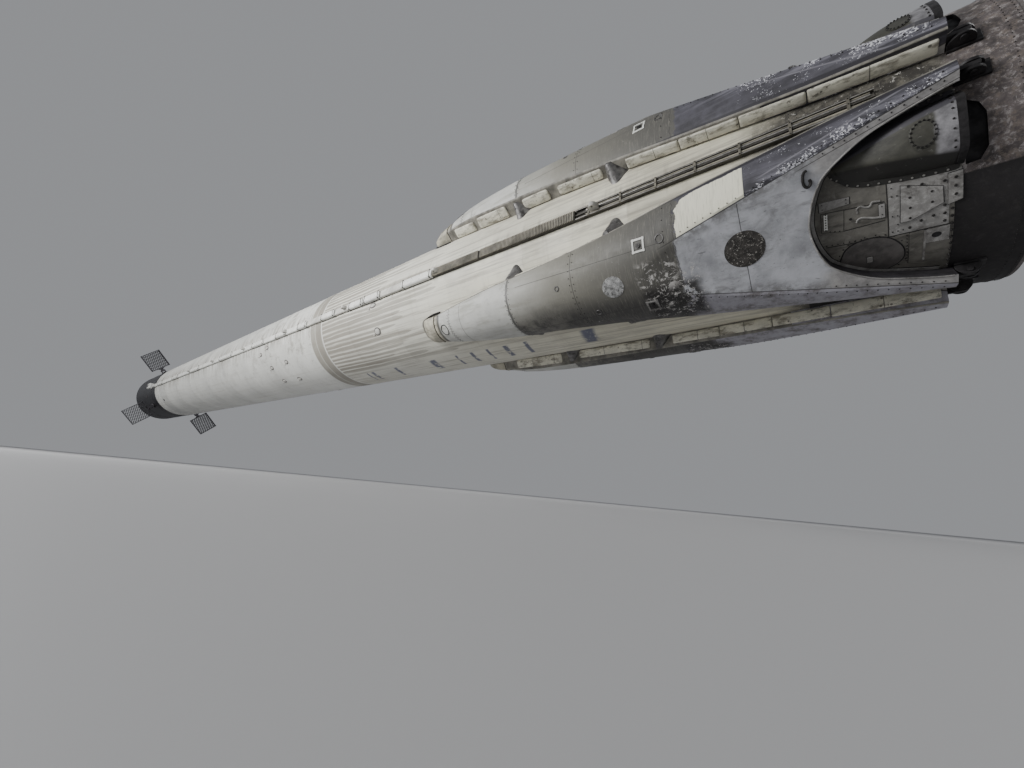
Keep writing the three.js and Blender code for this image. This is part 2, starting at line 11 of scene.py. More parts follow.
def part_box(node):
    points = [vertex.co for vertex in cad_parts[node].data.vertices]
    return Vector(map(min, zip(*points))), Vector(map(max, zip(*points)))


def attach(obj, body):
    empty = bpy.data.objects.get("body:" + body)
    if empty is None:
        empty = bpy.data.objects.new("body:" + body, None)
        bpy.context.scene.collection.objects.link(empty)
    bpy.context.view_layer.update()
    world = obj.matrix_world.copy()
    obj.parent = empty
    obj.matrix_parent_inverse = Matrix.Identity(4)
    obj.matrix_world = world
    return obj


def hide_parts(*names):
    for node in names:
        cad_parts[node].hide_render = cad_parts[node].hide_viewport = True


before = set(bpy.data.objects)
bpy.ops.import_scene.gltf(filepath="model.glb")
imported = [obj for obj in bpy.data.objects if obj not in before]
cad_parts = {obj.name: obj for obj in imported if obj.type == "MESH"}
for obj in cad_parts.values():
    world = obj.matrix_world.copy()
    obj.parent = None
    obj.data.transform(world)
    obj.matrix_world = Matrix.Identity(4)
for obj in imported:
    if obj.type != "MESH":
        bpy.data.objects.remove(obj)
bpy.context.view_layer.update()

bl_info = {
    "name": "Booster Stage",
    "version": (1, 0, 0),
    "blender": (4, 5, 0),
    "location": "View3D > Sidebar > Booster",
    "description": "Builds the weathered surface of a rocket booster stage around its packed frame",
    "category": "Object",
}

# Stations are metres forward of the plane of the leg feet, angles are degrees above +Y
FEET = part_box("leg_1")[0].x
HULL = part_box("lox_tank")[1].z


def ends(node):
    """The first and last station of a node."""
    return [corner.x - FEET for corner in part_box(node)]


SECTION_AFT, SECTION_FRONT = ends("engine_section")
RING_AFT, RING_FRONT = ends("tank_ring")
LOX_FRONT, NOSE = ends("interstage")
DOME_FRONT, PUSHER_FRONT = ends("lox_tank")[1], ends("stage_pusher")[1]
LEG_ANGLES = (45, 135, -135, -45)
SIDES = (("left", 1), ("right", -1))

# The legs' outer form. Columns: station, half-angle of the side walls, radii of their edge and of the crown
LEG_SECTIONS = ((0, 38.8, 1.062, 1.16), (0.5, 36.5, 1.046, 1.166), (1, 33, 1.038, 1.176),
    (1.5, 29.2, 1.037, 1.186), (2.1, 23.8, 1.042, 1.198), (2.75, 19.5, 1.06, 1.21), (3.5, 16.2, 1.078, 1.208),
    (4.1, 12.2, 1.075, 1.172), (4.46, 9.6, 1.045, 1.105))
LEG_LENGTH = LEG_SECTIONS[-1][0]
# The opening between a leg's two arms. Columns: station, half width
LEG_OPENING = ((-0.05, 0.553), (0.04, 0.55), (0.245, 0.5), (0.425, 0.438), (0.6, 0.322), (0.66, 0.235),
    (0.7, 0.12), (0.7165, 0))
LATCH_STATIONS = (2.085, 3.22)
BLISTER_OFFSET = 20.1
FIN_STATION = 20.75
POD_STATION = 20.52
# Degrees from the top of the hull to the raceways
RACEWAY_TURN = 92

# The photograph's camera
LENS = 14.08
CAMERA_AT = (-8.0806, 3.725, -2.6323)
CAMERA_YAW, CAMERA_PITCH, CAMERA_ROLL = 0.6919, 0.2567, -0.0858
HULL_ROLL = math.radians(0.72)


def length(name, default, low, description):
    return FloatProperty(name=name, description=description, default=default, min=low, unit="LENGTH")


def colour(name, default, description):
    return FloatVectorProperty(name=name, description=description, default=default, subtype="COLOR")


class BoosterSizes(bpy.types.PropertyGroup):
    """Sizes of the repeated details, in metres."""

    bead: length("Weld bead height", 0.0016, 0, "How far the welds between barrels stand out of the hull")
    bolt: length("Bolt head radius", 0.0065, 0.001, "Radius of the bolt heads around the blisters")
    rivet: length("Rivet head radius", 0.0032, 0.001, "Radius of the rivets in rows along edges")
    rivet_pitch: length("Rivet pitch", 0.032, 0.01, "Distance between the rivets of a row")
    pipe: length("Raceway pipe radius", 0.009, 0.002, "Radius of the pipes in the raceways")
    fin_cells: IntProperty(name="Grid fin cells", description="Cells across a grid fin", default=7, min=2,
        max=12)


class BoosterColours(bpy.types.PropertyGroup):
    """Colours of the paints and bare surfaces."""

    tank: colour("Tank paint", (0.7, 0.7, 0.66), "Off-white paint of the forward tank")
    ring: colour("Tank ring", (0.31, 0.295, 0.255), "Grey band between the two tanks")
    cream: colour("Sooty paint", (0.66, 0.63, 0.5), "Yellowed paint of the aft tank")
    soot: colour("Soot", (0.2, 0.185, 0.155), "Soot streaks on the paint")
    face: colour("Leg face", (0.41, 0.415, 0.44), "Scoured aft face of the legs")
    leg: colour("Leg middle", (0.135, 0.13, 0.108), "Sooty middle section of the legs")
    tip: colour("Leg tip", (0.5, 0.5, 0.47), "Paint of the legs' forward section")
    patch: colour("Bare patch", (0.8, 0.78, 0.64), "Fresh patch where the paint peeled off the legs")
    wall: colour("Leg walls", (0.66, 0.64, 0.54), "Cream pads on the legs' side walls")
    panel: colour("Opening skin", (0.135, 0.128, 0.112), "Skin seen between a leg's arms")
    plate: colour("Doubler plates", (0.27, 0.262, 0.25), "Raised plates on the opening skin")
    olive: colour("Blister", (0.042, 0.041, 0.032), "Dark fairings in the leg openings")
    section: colour("Engine section", (0.095, 0.08, 0.078), "Scorched skin of the engine section")
    black: colour("Interstage", (0.014, 0.014, 0.017), "Black composite of the interstage")


def sizes():
    return bpy.context.scene.booster_sizes


# Drawing shapes


def circle(count, radius=1, start=0):
    """Points evenly round a circle."""
    turns = [2 * math.pi * (i + start) / count for i in range(count)]
    return [(radius * math.cos(turn), radius * math.sin(turn)) for turn in turns]


def heading(line, i):
    """The direction of a line of vectors at one of its points."""
    return (line[min(i + 1, len(line) - 1)] - line[max(i - 1, 0)]).normalized()


class Shape:
    """Points and faces of a piece while it is drawn. Every face has a paint number."""

    def __init__(self):
        self.points, self.faces, self.paints = [], [], []

    def add(self, points, faces, paint=0):
        start = len(self.points)
        self.points.extend(tuple(point) for point in points)
        self.faces.extend(tuple(start + i for i in face) for face in faces)
        self.paints.extend(paint if isinstance(paint, list) else [paint] * len(faces))
        return self

    def join(self, other, change=tuple):
        return self.add([change(p) for p in other.points], other.faces, other.paints)

    def moved(self, change):
        self.points = [tuple(change(point)) for point in self.points]
        return self

    def loft(self, rings, paint=0, closed=False):
        """A skin over matching rings; its ends are capped unless the last ring meets the first.

        A list of paints gives one to every span, and the caps take the first and the last.
        """
        count = len(rings[0])
        spans = len(rings) if closed else len(rings) - 1
        faces = []
        for ring in range(spans):
            near, far = ring * count, (ring + 1) % len(rings) * count
            steps = [(i, (i + 1) % count) for i in range(count)]
            faces += [(near + i, near + j, far + j, far + i) for i, j in steps]
        paints = [p for p in (paint if isinstance(paint, list) else [paint] * spans) for _ in range(count)]
        if not closed:
            last = (len(rings) - 1) * count
            faces += [tuple(range(count)), tuple(range(last, last + count))]
            paints += [paints[0], paints[-1]]
        return self.add([point for ring in rings for point in ring], faces, paints)

    def box(self, low, high, paint=0):
        (x0, y0, z0), (x1, y1, z1) = low, high
        return self.loft([[(x, y0, z0), (x, y1, z0), (x, y1, z1), (x, y0, z1)] for x in (x0, x1)], paint)

    def turned(self, profile, segments=192, paint=0, centre=(0, 0)):
        """A closed body of revolution about X from [station, radius] points."""
        points, rows, faces = [], [], []
        for station, radius in profile:
            ring = circle(segments, radius) if radius > 1e-6 else [(0, 0)]
            rows.append(range(len(points), len(points) + len(ring)))
            points += [(station, centre[0] + y, centre[1] + z) for y, z in ring]
        pairs = list(zip(rows, rows[1:]))
        if len(rows[0]) > 1:
            pairs.append((rows[-1], rows[0]))
        for near, far in pairs:
            for i in range(segments):
                j = (i + 1) % segments
                corners = [near[i % len(near)], near[j % len(near)], far[j % len(far)], far[i % len(far)]]
                face = tuple(dict.fromkeys(corners))
                if len(face) > 2:
                    faces.append(face)
        return self.add(points, faces, paint)

    def bar(self, path, radius, sides=8, paint=0):
        """A round bar along a path of points."""
        line = [Vector(point) for point in path]
        rings = []
        across = (line[1] - line[0]).normalized().orthogonal().normalized()
        for i, point in enumerate(line):
            ahead = heading(line, i)
            across = (across - ahead * across.dot(ahead)).normalized()
            other = ahead.cross(across)
            rings.append([point + radius * (x * across + y * other) for x, y in circle(sides)])
        return self.loft(rings, paint)

    def prism(self, outline, low, high, paint=0):
        """A plan outline of [x, y] corners raised from z = low to z = high."""
        return self.loft([[(x, y, z) for x, y in outline] for z in (low, high)], paint)


def sliced(shape, steps):
    """The shape cut along X and Y every given step, so that it can follow a curved skin."""
    work = bmesh.new()
    points = [work.verts.new(point) for point in shape.points]
    for face, paint in zip(shape.faces, shape.paints):
        work.faces.new([points[i] for i in face]).material_index = paint
    for axis, step in enumerate(steps):
        if not step:
            continue
        values = [point[axis] for point in shape.points]
        for k in range(math.floor(min(values) / step) + 1, math.ceil(max(values) / step)):
            place, normal = [0, 0, 0], [0, 0, 0]
            place[axis], normal[axis] = k * step, 1
            geometry = work.verts[:] + work.edges[:] + work.faces[:]
            bmesh.ops.bisect_plane(work, geom=geometry, dist=1e-7, plane_co=place, plane_no=normal)
    bmesh.ops.triangulate(work, faces=[face for face in work.faces if len(face.verts) > 4])
    work.verts.index_update()
    faces = [tuple(vert.index for vert in face.verts) for face in work.faces]
    cut = Shape().add([vert.co for vert in work.verts], faces, [face.material_index for face in work.faces])
    work.free()
    return cut


def on_hull(station, angle, lift=0):
    turn = math.radians(angle)
    return (FEET + station, (HULL + lift) * math.cos(turn), (HULL + lift) * math.sin(turn))


def degrees_round(distance):
    """Degrees round the hull for a distance over its skin."""
    return math.degrees(distance / HULL)


def metres_round(degrees):
    """The distance over the hull's skin for some degrees round it."""
    return math.radians(degrees) * HULL


def beside(angle, side, centre=0):
    """Takes (station, degrees towards the raceway, height over the hull) at a leg to the frame."""
    return lambda p: on_hull(p[0], angle + side * (centre + p[1]), p[2])


def flat_plate(outline, low, high, paint=0):
    """A plate from [station, angle] corners, cut every few degrees so that it can be bent round the hull."""
    return sliced(Shape().prism(outline, low, high, paint), (0, 2.5))


def hull_plate(shape, *plate):
    return shape.join(flat_plate(*plate), lambda p: on_hull(*p))


def both_ways(half):
    """Half an outline followed by its mirror image in the second axis."""
    return [*half, *((-x, y) for x, y in half[::-1])]


def oval(centre, half_x, half_y, count=28):
    """An oval outline, its second half-size along the second coordinate."""
    return [(centre[0] + half_x * x, centre[1] + half_y * y) for x, y in circle(count)]


def middle_of(points):
    points = [Vector(point) for point in points]
    return sum(points[1:], points[0]) / len(points)


def rounded(corners, radius, steps=4):
    """An outline with its corners cut to arcs."""
    outline = []
    for i, corner in enumerate(corners):
        before, here, after = Vector(corners[i - 1]), Vector(corner), Vector(corners[(i + 1) % len(corners)])
        start = here + (before - here).normalized() * min(radius, (before - here).length / 2)
        end = here + (after - here).normalized() * min(radius, (after - here).length / 2)
        for k in range(steps + 1):
            a, b = start.lerp(here, k / steps), here.lerp(end, k / steps)
            outline.append(tuple(a.lerp(b, k / steps)))
    return outline


def rounded_path(path, steps=4):
    """A path with points added on a smooth curve through its corners."""
    points = [Vector(p) for p in path]
    smooth = []
    for i in range(len(points) - 1):
        before, start, end = points[max(i - 1, 0)], points[i], points[i + 1]
        after = points[min(i + 2, len(points) - 1)]
        for k in range(steps):
            u = k / steps
            smooth.append(0.5 * (2 * start + (end - before) * u + (2 * before - 5 * start + 4 * end - after)
                * u ** 2 + (3 * start - before - 3 * end + after) * u ** 3))
    return smooth + [points[-1]]


def smooth_row(table, station):
    """A row of a table of sections at any station, on a smooth curve through them."""
    columns = np.array(table)
    at = columns[:, 0]
    k = int(np.clip(np.searchsorted(at, station) - 1, 0, len(at) - 2))
    secants = np.diff(columns, axis=0) / np.diff(at)[:, None]
    slopes = np.vstack([secants[0], (secants[1:] + secants[:-1]) / 2, secants[-1]])
    span = at[k + 1] - at[k]
    u = float(np.clip((station - at[k]) / span, 0, 1))
    weights = (2 * u ** 3 - 3 * u ** 2 + 1, (u ** 3 - 2 * u ** 2 + u) * span, 3 * u ** 2 - 2 * u ** 3,
        (u ** 3 - u ** 2) * span)
    parts = (columns[k], slopes[k], columns[k + 1], slopes[k + 1])
    return [float(value) for value in sum(weight * part for weight, part in zip(weights, parts))]


def outward(angle, side=1):
    """Takes (station, across, height above the axis) at an angle of the hull to the frame."""
    turn = math.radians(angle)
    across = Vector((0, -math.sin(turn), math.cos(turn))) * side
    up = Vector((0, math.cos(turn), math.sin(turn)))
    basis = Matrix((Vector((1, 0, 0)), across, up)).transposed().to_4x4()
    return Matrix.Translation((FEET, 0, 0)) @ basis


def legs():
    """Each leg's number, angle, side and matrix. The side is 1 where the raceway is at a larger angle."""
    for number, angle in enumerate(LEG_ANGLES, 1):
        side = -1 if math.sin(math.radians(2 * angle)) > 0 else 1
        yield number, angle, side, outward(angle, side)


# Making pieces


def soften(mesh, sharp=35):
    mesh.polygons.foreach_set("use_smooth", [True] * len(mesh.polygons))
    mesh.set_sharp_from_angle(angle=math.radians(sharp))
    return mesh


def make_mesh(shape, makes, sharp=35):
    mesh = bpy.data.meshes.new("piece")
    mesh.from_pydata(shape.points, [], shape.faces)
    mesh.polygons.foreach_set("material_index", shape.paints)
    for make in makes:
        mesh.materials.append(finish_of(make))
    work = bmesh.new()
    work.from_mesh(mesh)
    bmesh.ops.recalc_face_normals(work, faces=work.faces)
    work.to_mesh(mesh)
    work.free()
    return soften(mesh, sharp)


def link(name, mesh):
    piece = bpy.data.objects.new(name, mesh)
    bpy.context.scene.collection.objects.link(piece)
    return piece


def show(name, mesh, replaces=None, slot=None, body="hull", bevel=0, segments=2):
    """Adds a piece on its body, with its edges bevelled by the given width."""
    mesh.name = name
    piece = link(name, mesh)
    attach(piece, body)
    if replaces:
        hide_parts(replaces)
    if bevel:
        edges = piece.modifiers.new("bevel", "BEVEL")
        edges.width, edges.segments, edges.harden_normals = bevel, segments, True
        edges.limit_method, edges.angle_limit = "ANGLE", math.radians(40)


def build(name, shape, makes, replaces=None, slot=None, **more):
    show(name, make_mesh(shape, makes), replaces, slot, **more)


def place(mesh, matrix):
    """A copy of the mesh moved by the matrix, with its faces still outwards."""
    copy = mesh.copy()
    copy.transform(matrix)
    if matrix.determinant() < 0:
        copy.flip_normals()
    return copy


def store(mesh, name, kind, values):
    """Gives every point of the mesh a value for the paints or the nodes."""
    field = "value" if kind == "FLOAT" else "vector"
    values = np.array(values, np.float32).ravel()
    mesh.attributes.new(name, kind, "POINT").data.foreach_set(field, values)
    return mesh


def drawn_at(mesh, points=None):
    """Keeps where each point lies in the piece's own drawing."""
    return store(mesh, "place", "FLOAT_VECTOR", points or [vert.co for vert in mesh.vertices])


def number_leg(mesh, number):
    """A different part of each paint pattern for every leg."""
    return store(mesh, "shift", "FLOAT", [7.3 * number] * len(mesh.vertices))


def evaluated(obj):
    """The object's mesh with its modifiers, and the object removed."""
    bpy.context.view_layer.update()
    graph = bpy.context.evaluated_depsgraph_get()
    mesh = bpy.data.meshes.new_from_object(obj.evaluated_get(graph), preserve_all_data_layers=True,
        depsgraph=graph)
    bpy.data.objects.remove(obj)
    return mesh


def carve(mesh, cutter):
    """The mesh less the cutter's mesh."""
    body, tool = link("carved", mesh), link("cutter", cutter)
    cut = body.modifiers.new("cut", "BOOLEAN")
    cut.operation, cut.solver, cut.object = "DIFFERENCE", "EXACT", tool
    result = evaluated(body)
    bpy.data.objects.remove(tool)
    return result


# Geometry Nodes for what repeats


def draw_head(tree, given):
    """A bolt head: a low cone frustum."""
    head = tree.nodes.new("GeometryNodeMeshCone")
    head.inputs["Vertices"].default_value = 8
    tree.links.new(given.outputs["Radius"], head.inputs["Radius Bottom"])
    slim = tree.nodes.new("ShaderNodeMath")
    slim.operation = "MULTIPLY"
    slim.inputs[1].default_value = 0.72
    tree.links.new(given.outputs["Radius"], slim.inputs[0])
    tree.links.new(slim.outputs[0], head.inputs["Radius Top"])
    tree.links.new(given.outputs["Height"], head.inputs["Depth"])
    return head.outputs["Mesh"]


def draw_block(tree, given):
    """A plain block, its middle at the point."""
    block = tree.nodes.new("GeometryNodeMeshCube")
    tree.links.new(given.outputs["Size"], block.inputs["Size"])
    return block.outputs["Mesh"]


# What can stand on points, with its tree's inputs
REPEATED = {
    "fasteners": (draw_head, (("Radius", "Float"), ("Height", "Float"), ("Material", "Material"))),
    "blocks": (draw_block, (("Size", "Vector"), ("Material", "Material"))),
}


def standing_tree(name):
    """Points carry the instance with its Z along their 'out' and its X near their 'along'."""
    draw_instance, inputs = REPEATED[name]
    tree = bpy.data.node_groups.new(name, "GeometryNodeTree")
    for label, kind in (("Geometry", "Geometry"), *inputs):
        tree.interface.new_socket(label, in_out="INPUT", socket_type="NodeSocket" + kind)
    tree.interface.new_socket("Geometry", in_out="OUTPUT", socket_type="NodeSocketGeometry")
    node, join = tree.nodes.new, tree.links.new
    given, result = node("NodeGroupInput"), node("NodeGroupOutput")
    instance = draw_instance(tree, given)
    stand, turn = node("FunctionNodeAlignRotationToVector"), node("FunctionNodeAlignRotationToVector")
    stand.axis, turn.axis, turn.pivot_axis = "Z", "X", "Z"
    for label, align in (("out", stand), ("along", turn)):
        named = node("GeometryNodeInputNamedAttribute")
        named.data_type = "FLOAT_VECTOR"
        named.inputs["Name"].default_value = label
        join(named.outputs["Attribute"], align.inputs["Vector"])
    join(stand.outputs["Rotation"], turn.inputs["Rotation"])
    scatter = node("GeometryNodeInstanceOnPoints")
    join(given.outputs["Geometry"], scatter.inputs["Points"])
    join(instance, scatter.inputs["Instance"])
    join(turn.outputs["Rotation"], scatter.inputs["Rotation"])
    real, finish = node("GeometryNodeRealizeInstances"), node("GeometryNodeSetMaterial")
    join(scatter.outputs["Instances"], real.inputs["Geometry"])
    join(real.outputs["Geometry"], finish.inputs["Geometry"])
    join(given.outputs["Material"], finish.inputs["Material"])
    join(finish.outputs["Geometry"], result.inputs["Geometry"])
    return tree


def repeated(name, kind, places, make, matrix=Matrix(), **values):
    """The tree's instance on every place, a (point, out, along) triple, as one plain mesh."""
    turn = matrix.to_3x3()
    mesh = bpy.data.meshes.new(name)
    mesh.from_pydata([matrix @ Vector(point) for point, out, along in places], [], [])
    for column, label in enumerate(("out", "along"), 1):
        store(mesh, label, "FLOAT_VECTOR", [turn @ Vector(row[column]) for row in places])
    carrier = link(name, mesh)
    nodes = carrier.modifiers.new("nodes", "NODES")
    nodes.node_group = tree = bpy.data.node_groups.get(kind) or standing_tree(kind)
    values["Material"] = finish_of(make)
    for socket in tree.interface.items_tree:
        if socket.item_type == "SOCKET" and socket.in_out == "INPUT" and socket.name in values:
            nodes[socket.identifier] = values[socket.name]
    result = evaluated(carrier)
    for label in ("out", "along"):
        if label in result.attributes:
            result.attributes.remove(result.attributes[label])
    return result


def show_heads(name, places, radius, matrix=Matrix(), make="bolt_dark"):
    mesh = repeated(name, "fasteners", places, make, matrix, Radius=radius, Height=radius * 0.9)
    show(name, soften(mesh, 50))


def show_blocks(name, places, size, make, matrix=Matrix(), **more):
    show(name, repeated(name, "blocks", places, make, matrix, Size=size), **more)


def hull_places(points, angle=0, side=1):
    """Places on the hull from (station, degrees from the angle, height over the hull) points."""
    places = []
    for station, offset, lift in points:
        turn = math.radians(angle + side * offset)
        out = (0, math.cos(turn), math.sin(turn))
        places.append((on_hull(station, angle + side * offset, lift), out, (1, 0, 0)))
    return places


def hull_row(start, end, pitch, lift=0):
    """Points along a straight line of [station, angle] from start to end."""
    arc = math.radians(end[1] - start[1]) * (HULL + lift)
    count = max(1, round(math.hypot(end[0] - start[0], arc) / pitch))
    return [(station, angle, lift) for station, angle in np.linspace(start, end, count + 1)]


# Paints


def tint(name, strength=1):
    """One of the panel's colours, made lighter or darker."""
    return tuple(min(1, channel * strength) for channel in getattr(bpy.context.scene.booster_colours, name))


class Value:
    """A socket of a material's nodes that can be calculated with."""

    def __init__(self, finish, socket):
        self.finish = finish
        self.socket = socket

    def math(self, operation, other=0):
        return self.finish.node("ShaderNodeMath", {0: self, 1: other}, operation=operation)

    def __add__(self, other):
        return self.math("ADD", other)

    def __sub__(self, other):
        return self.math("SUBTRACT", other)

    def __rsub__(self, other):
        return self * -1 + other

    def __mul__(self, other):
        return self.math("MULTIPLY", other)

    def __truediv__(self, other):
        return self.math("DIVIDE", other)

    def __pow__(self, other):
        return self.math("POWER", other)

    def __or__(self, other):
        return self.math("MAXIMUM", other)

    def __abs__(self):
        return self.math("ABSOLUTE")

    __radd__, __rmul__ = __add__, __mul__

    def rise(self, low, high, start=0, end=1):
        """Goes smoothly from start to end while the value goes from low to high."""
        inputs = {"Value": self, "From Min": low, "From Max": high, "To Min": start, "To Max": end}
        return self.finish.node("ShaderNodeMapRange", inputs, interpolation_type="SMOOTHSTEP")

    def band(self, low, high, soft=0.01):
        """One between low and high, and nought outside."""
        return self.rise(low - soft, low + soft) * self.rise(high - soft, high + soft, 1, 0)

    def line(self, at, width):
        """One on a thin line where the value is at."""
        return abs(self - at).rise(width * 0.4, width, 1, 0)

    def over(self, colour, share):
        """This colour with a second one over it."""
        return self.finish.blend(self, colour, share)

    def stained(self, *stains):
        """This colour with others over it, each by a share where its noise rises from low to high."""
        shade = self
        for colour, share, low, high, *clouds in stains:
            shade = shade.over(colour, share * self.finish.noise(*clouds).rise(low, high))
        return shade


def any_of(*masks):
    return functools.reduce(Value.__or__, masks)


class Finish:
    """One material drawn with nodes."""

    def __init__(self, name, roughness=0.6, metallic=0):
        self.material = bpy.data.materials.new(name)
        self.material.use_nodes = True
        self.tree = self.material.node_tree
        self.tree.nodes.clear()
        end = self.tree.nodes.new("ShaderNodeOutputMaterial")
        self.shader = self.tree.nodes.new("ShaderNodeBsdfPrincipled")
        self.tree.links.new(self.shader.outputs["BSDF"], end.inputs["Surface"])
        self.give(self.shader.inputs["Roughness"], roughness)
        self.give(self.shader.inputs["Metallic"], metallic)
        self.spot = self.node("ShaderNodeTexCoord", {}, "Object")

    def give(self, socket, value):
        if isinstance(value, Value):
            self.tree.links.new(value.socket, socket)
        elif socket.type == "RGBA":
            socket.default_value = (*value, 1)
        else:
            socket.default_value = value

    def node(self, kind, inputs, output=0, **settings):
        made = self.tree.nodes.new(kind)
        for key, value in settings.items():
            setattr(made, key, value)
        for key, value in inputs.items():
            self.give(made.inputs[key], value)
        return Value(self, made.outputs[output])

    def attribute(self, name, output="Vector"):
        return self.node("ShaderNodeAttribute", {}, output, attribute_name=name)

    def axes(self, vector):
        return [self.node("ShaderNodeSeparateXYZ", {0: vector}, axis) for axis in range(3)]

    def noise(self, scale, detail=6, rough=0.7, warp=0):
        """A cloudy value. A pair of scales, along and across the hull, draws the clouds out."""
        at = self.spot
        if isinstance(scale, tuple):
            stretch = (scale[0], scale[1], scale[1])
            at, scale = self.node("ShaderNodeMapping", {"Vector": at, "Scale": stretch}), 1
        inputs = {"Vector": at, "Scale": scale, "Detail": detail, "Roughness": rough, "Distortion": warp}
        return self.node("ShaderNodeTexNoise", inputs, "Fac")

    def blend(self, first, second, share):
        return self.node("ShaderNodeMix", {0: share, 6: first, 7: second}, 2, data_type="RGBA")

    def mottled(self, colour, strength=0.25, scale=6, detail=5):
        """The colour made cloudy, lighter and darker by the given strength."""
        light = tuple(min(1, channel * (1 + strength)) for channel in colour)
        dark = tuple(channel * (1 - strength) for channel in colour)
        return self.blend(dark, light, self.noise(scale, detail, 0.65).rise(0.3, 0.7))

    def close(self, colour, grain=60, bump=0.3, depth=0.002, roughness=None, height=None):
        """Ends the material with its colour and a bump from a fine grain or a given height."""
        self.give(self.shader.inputs["Base Color"], colour)
        if roughness is not None:
            self.give(self.shader.inputs["Roughness"], roughness)
        inputs = {"Height": height or self.noise(grain, 5, 0.6), "Strength": bump, "Distance": depth}
        self.give(self.shader.inputs["Normal"], self.node("ShaderNodeBump", inputs, "Normal"))
        return self.material


# Plain worn surfaces. Columns: colour, cloudiness, cloud scale, roughness, metallic
WORN = {
    # Dark brown for the legs' outer side walls between the pads, partly grime and partly painted shade
    "back_paint": ((0.2, 0.19, 0.165), 0.5, 8, 0.7, 0),
    # Near-black for the walls inside the legs' openings, painted shade
    "inner_paint": ((0.04, 0.037, 0.042), 0.4, 8, 0.7, 0),
    "frame_white": ((0.68, 0.68, 0.64), 0.12, 20, 0.5, 0),
    "bolt_dark": ((0.035, 0.033, 0.032), 0.4, 40, 0.45, 0.6),
    "bolt_light": ((0.3, 0.29, 0.27), 0.3, 40, 0.4, 0.5),
    "door_paint": ((0.085, 0.078, 0.074), 0.4, 10, 0.6, 0),
    "burnt_black": ((0.012, 0.011, 0.012), 0.5, 9, 0.8, 0),
    "burnt_metal": ((0.03, 0.028, 0.029), 0.5, 14, 0.55, 0.5),
    "soot_metal": ((0.11, 0.1, 0.1), 0.4, 14, 0.5, 0.7),
    "raceway_dark": ((0.06, 0.055, 0.046), 0.5, 7, 0.7, 0),
    "raceway_ribbed": ((0.27, 0.25, 0.2), 0.45, 5, 0.65, 0),
    "strap_brown": ((0.15, 0.138, 0.11), 0.4, 7, 0.65, 0),
    "raceway_grey": ((0.5, 0.49, 0.45), 0.25, 5, 0.6, 0),
    "raceway_white": ((0.74, 0.74, 0.7), 0.1, 5, 0.5, 0),
    "fin_paint": ((0.1, 0.095, 0.105), 0.35, 12, 0.5, 0.6),
    "nozzle_inside": ((0.035, 0.031, 0.03), 0.4, 14, 0.7, 0.3),
}

# Stained surfaces: roughness, metallic, grain, bump and its depth, then the colour with its cloudiness,
# cloud scale and detail, then each stain's colour, share, low, high, scale, detail, roughness and warp
STAINED = {
    "dark_disc": ((0.75, 0, 60, 0.8, 0.004), ((0.042, 0.038, 0.034), 0.5, 22),
        ((0.46, 0.44, 0.4), 1, 0.57, 0.62, 60, 6, 0.8)),
    "pale_disc": ((0.4, 0, 60, 0.6, 0.003), ((0.34, 0.34, 0.335), 0.45, 25),
        ((0.09, 0.09, 0.085), 1, 0.5, 0.58, 48, 6, 0.8),
        ((0.62, 0.62, 0.6), 0.8, 0.58, 0.64, 70, 6, 0.8)),
    "panel_paint": ((0.65, 0, 60, 0.4, 0.002), ("panel", 0.35, 7, 7),
        ((0.27, 0.26, 0.235), 0.6, 0.52, 0.72, 11, 7, 0.75, 0.7),
        ((0.04, 0.036, 0.032), 0.75, 0.5, 0.72, (4, 14))),
    "plate_paint": ((0.55, 0, 70, 0.35, 0.002), ("plate", 0.25, 9, 7),
        ((0.46, 0.455, 0.44), 0.75, 0.5, 0.68, 18, 7, 0.8),
        ((0.09, 0.082, 0.075), 0.85, 0.48, 0.66, 6, 7, 0.75, 0.5),
        ((0.06, 0.055, 0.05), 0.7, 0.62, 0.68, 45, 5, 0.75)),
    "latch_paint": ((0.45, 0.4, 80, 0.3, 0.001), ((0.17, 0.165, 0.16), 0.4, 12),
        ((0.035, 0.032, 0.032), 0.9, 0.44, 0.62, 9, 6, 0.75)),
    "cap_paint": ((0.6, 0, 60, 0.3, 0.002), ((0.4, 0.375, 0.3), 0.3, 8),
        ((0.16, 0.15, 0.12), 0.85, 0.46, 0.7, (3, 18))),
    "scorched": ((0.6, 0, 60, 0.3, 0.002), ((0.045, 0.041, 0.036), 0, 8),
        ((0.17, 0.158, 0.13), 1, 0.42, 0.62, 8, 8, 0.78),
        ((0.62, 0.6, 0.55), 0.9, 0.585, 0.635, 30, 6, 0.8),
        ((0.02, 0.018, 0.016), 0.8, 0.56, 0.64, 15, 7, 0.8, 0.5)),
    "interstage_paint": ((0.42, 0, 50, 0.2, 0.002), ("black", 0.4, 3),
        ((0.05, 0.05, 0.055), 0.5, 0.55, 0.75, (80, 8), 4, 0.6),
        ((0.16, 0.155, 0.15), 0.5, 0.56, 0.8, 5, 7, 0.75)),
    "shield_paint": ((0.8, 0, 70, 0.5, 0.003), ((0.13, 0.115, 0.11), 0.45, 6, 8),
        ((0.34, 0.32, 0.3), 0.75, 0.52, 0.74, 11, 7, 0.75, 0.6)),
    "floor_paint": ((0.6, 0, 20, 0.02, 0.002), ((0.34, 0.34, 0.345), 0.015, 0.4)),
}
MADE = {}


def worn_surface(name):
    """Cloudy colour with dark specks and a fine grain."""
    colour, strength, scale, roughness, metallic = WORN[name]
    f = Finish(name, roughness, metallic)
    specks = tuple(channel * 0.45 for channel in colour)
    shade = f.mottled(colour, strength, scale).stained((specks, 0.6, 0.62, 0.72, scale * 9, 3))
    rough = f.noise(scale * 2.3, 4, 0.6).rise(0.35, 0.65, roughness - 0.12, roughness + 0.14)
    return f.close(shade, 90, 0.25, 0.001, rough)


def stained_surface(f, name):
    """The colours of a stained surface."""
    (colour, *clouds), *stains = STAINED[name][1:]
    return f.mottled(tint(colour) if isinstance(colour, str) else colour, *clouds).stained(*stains)


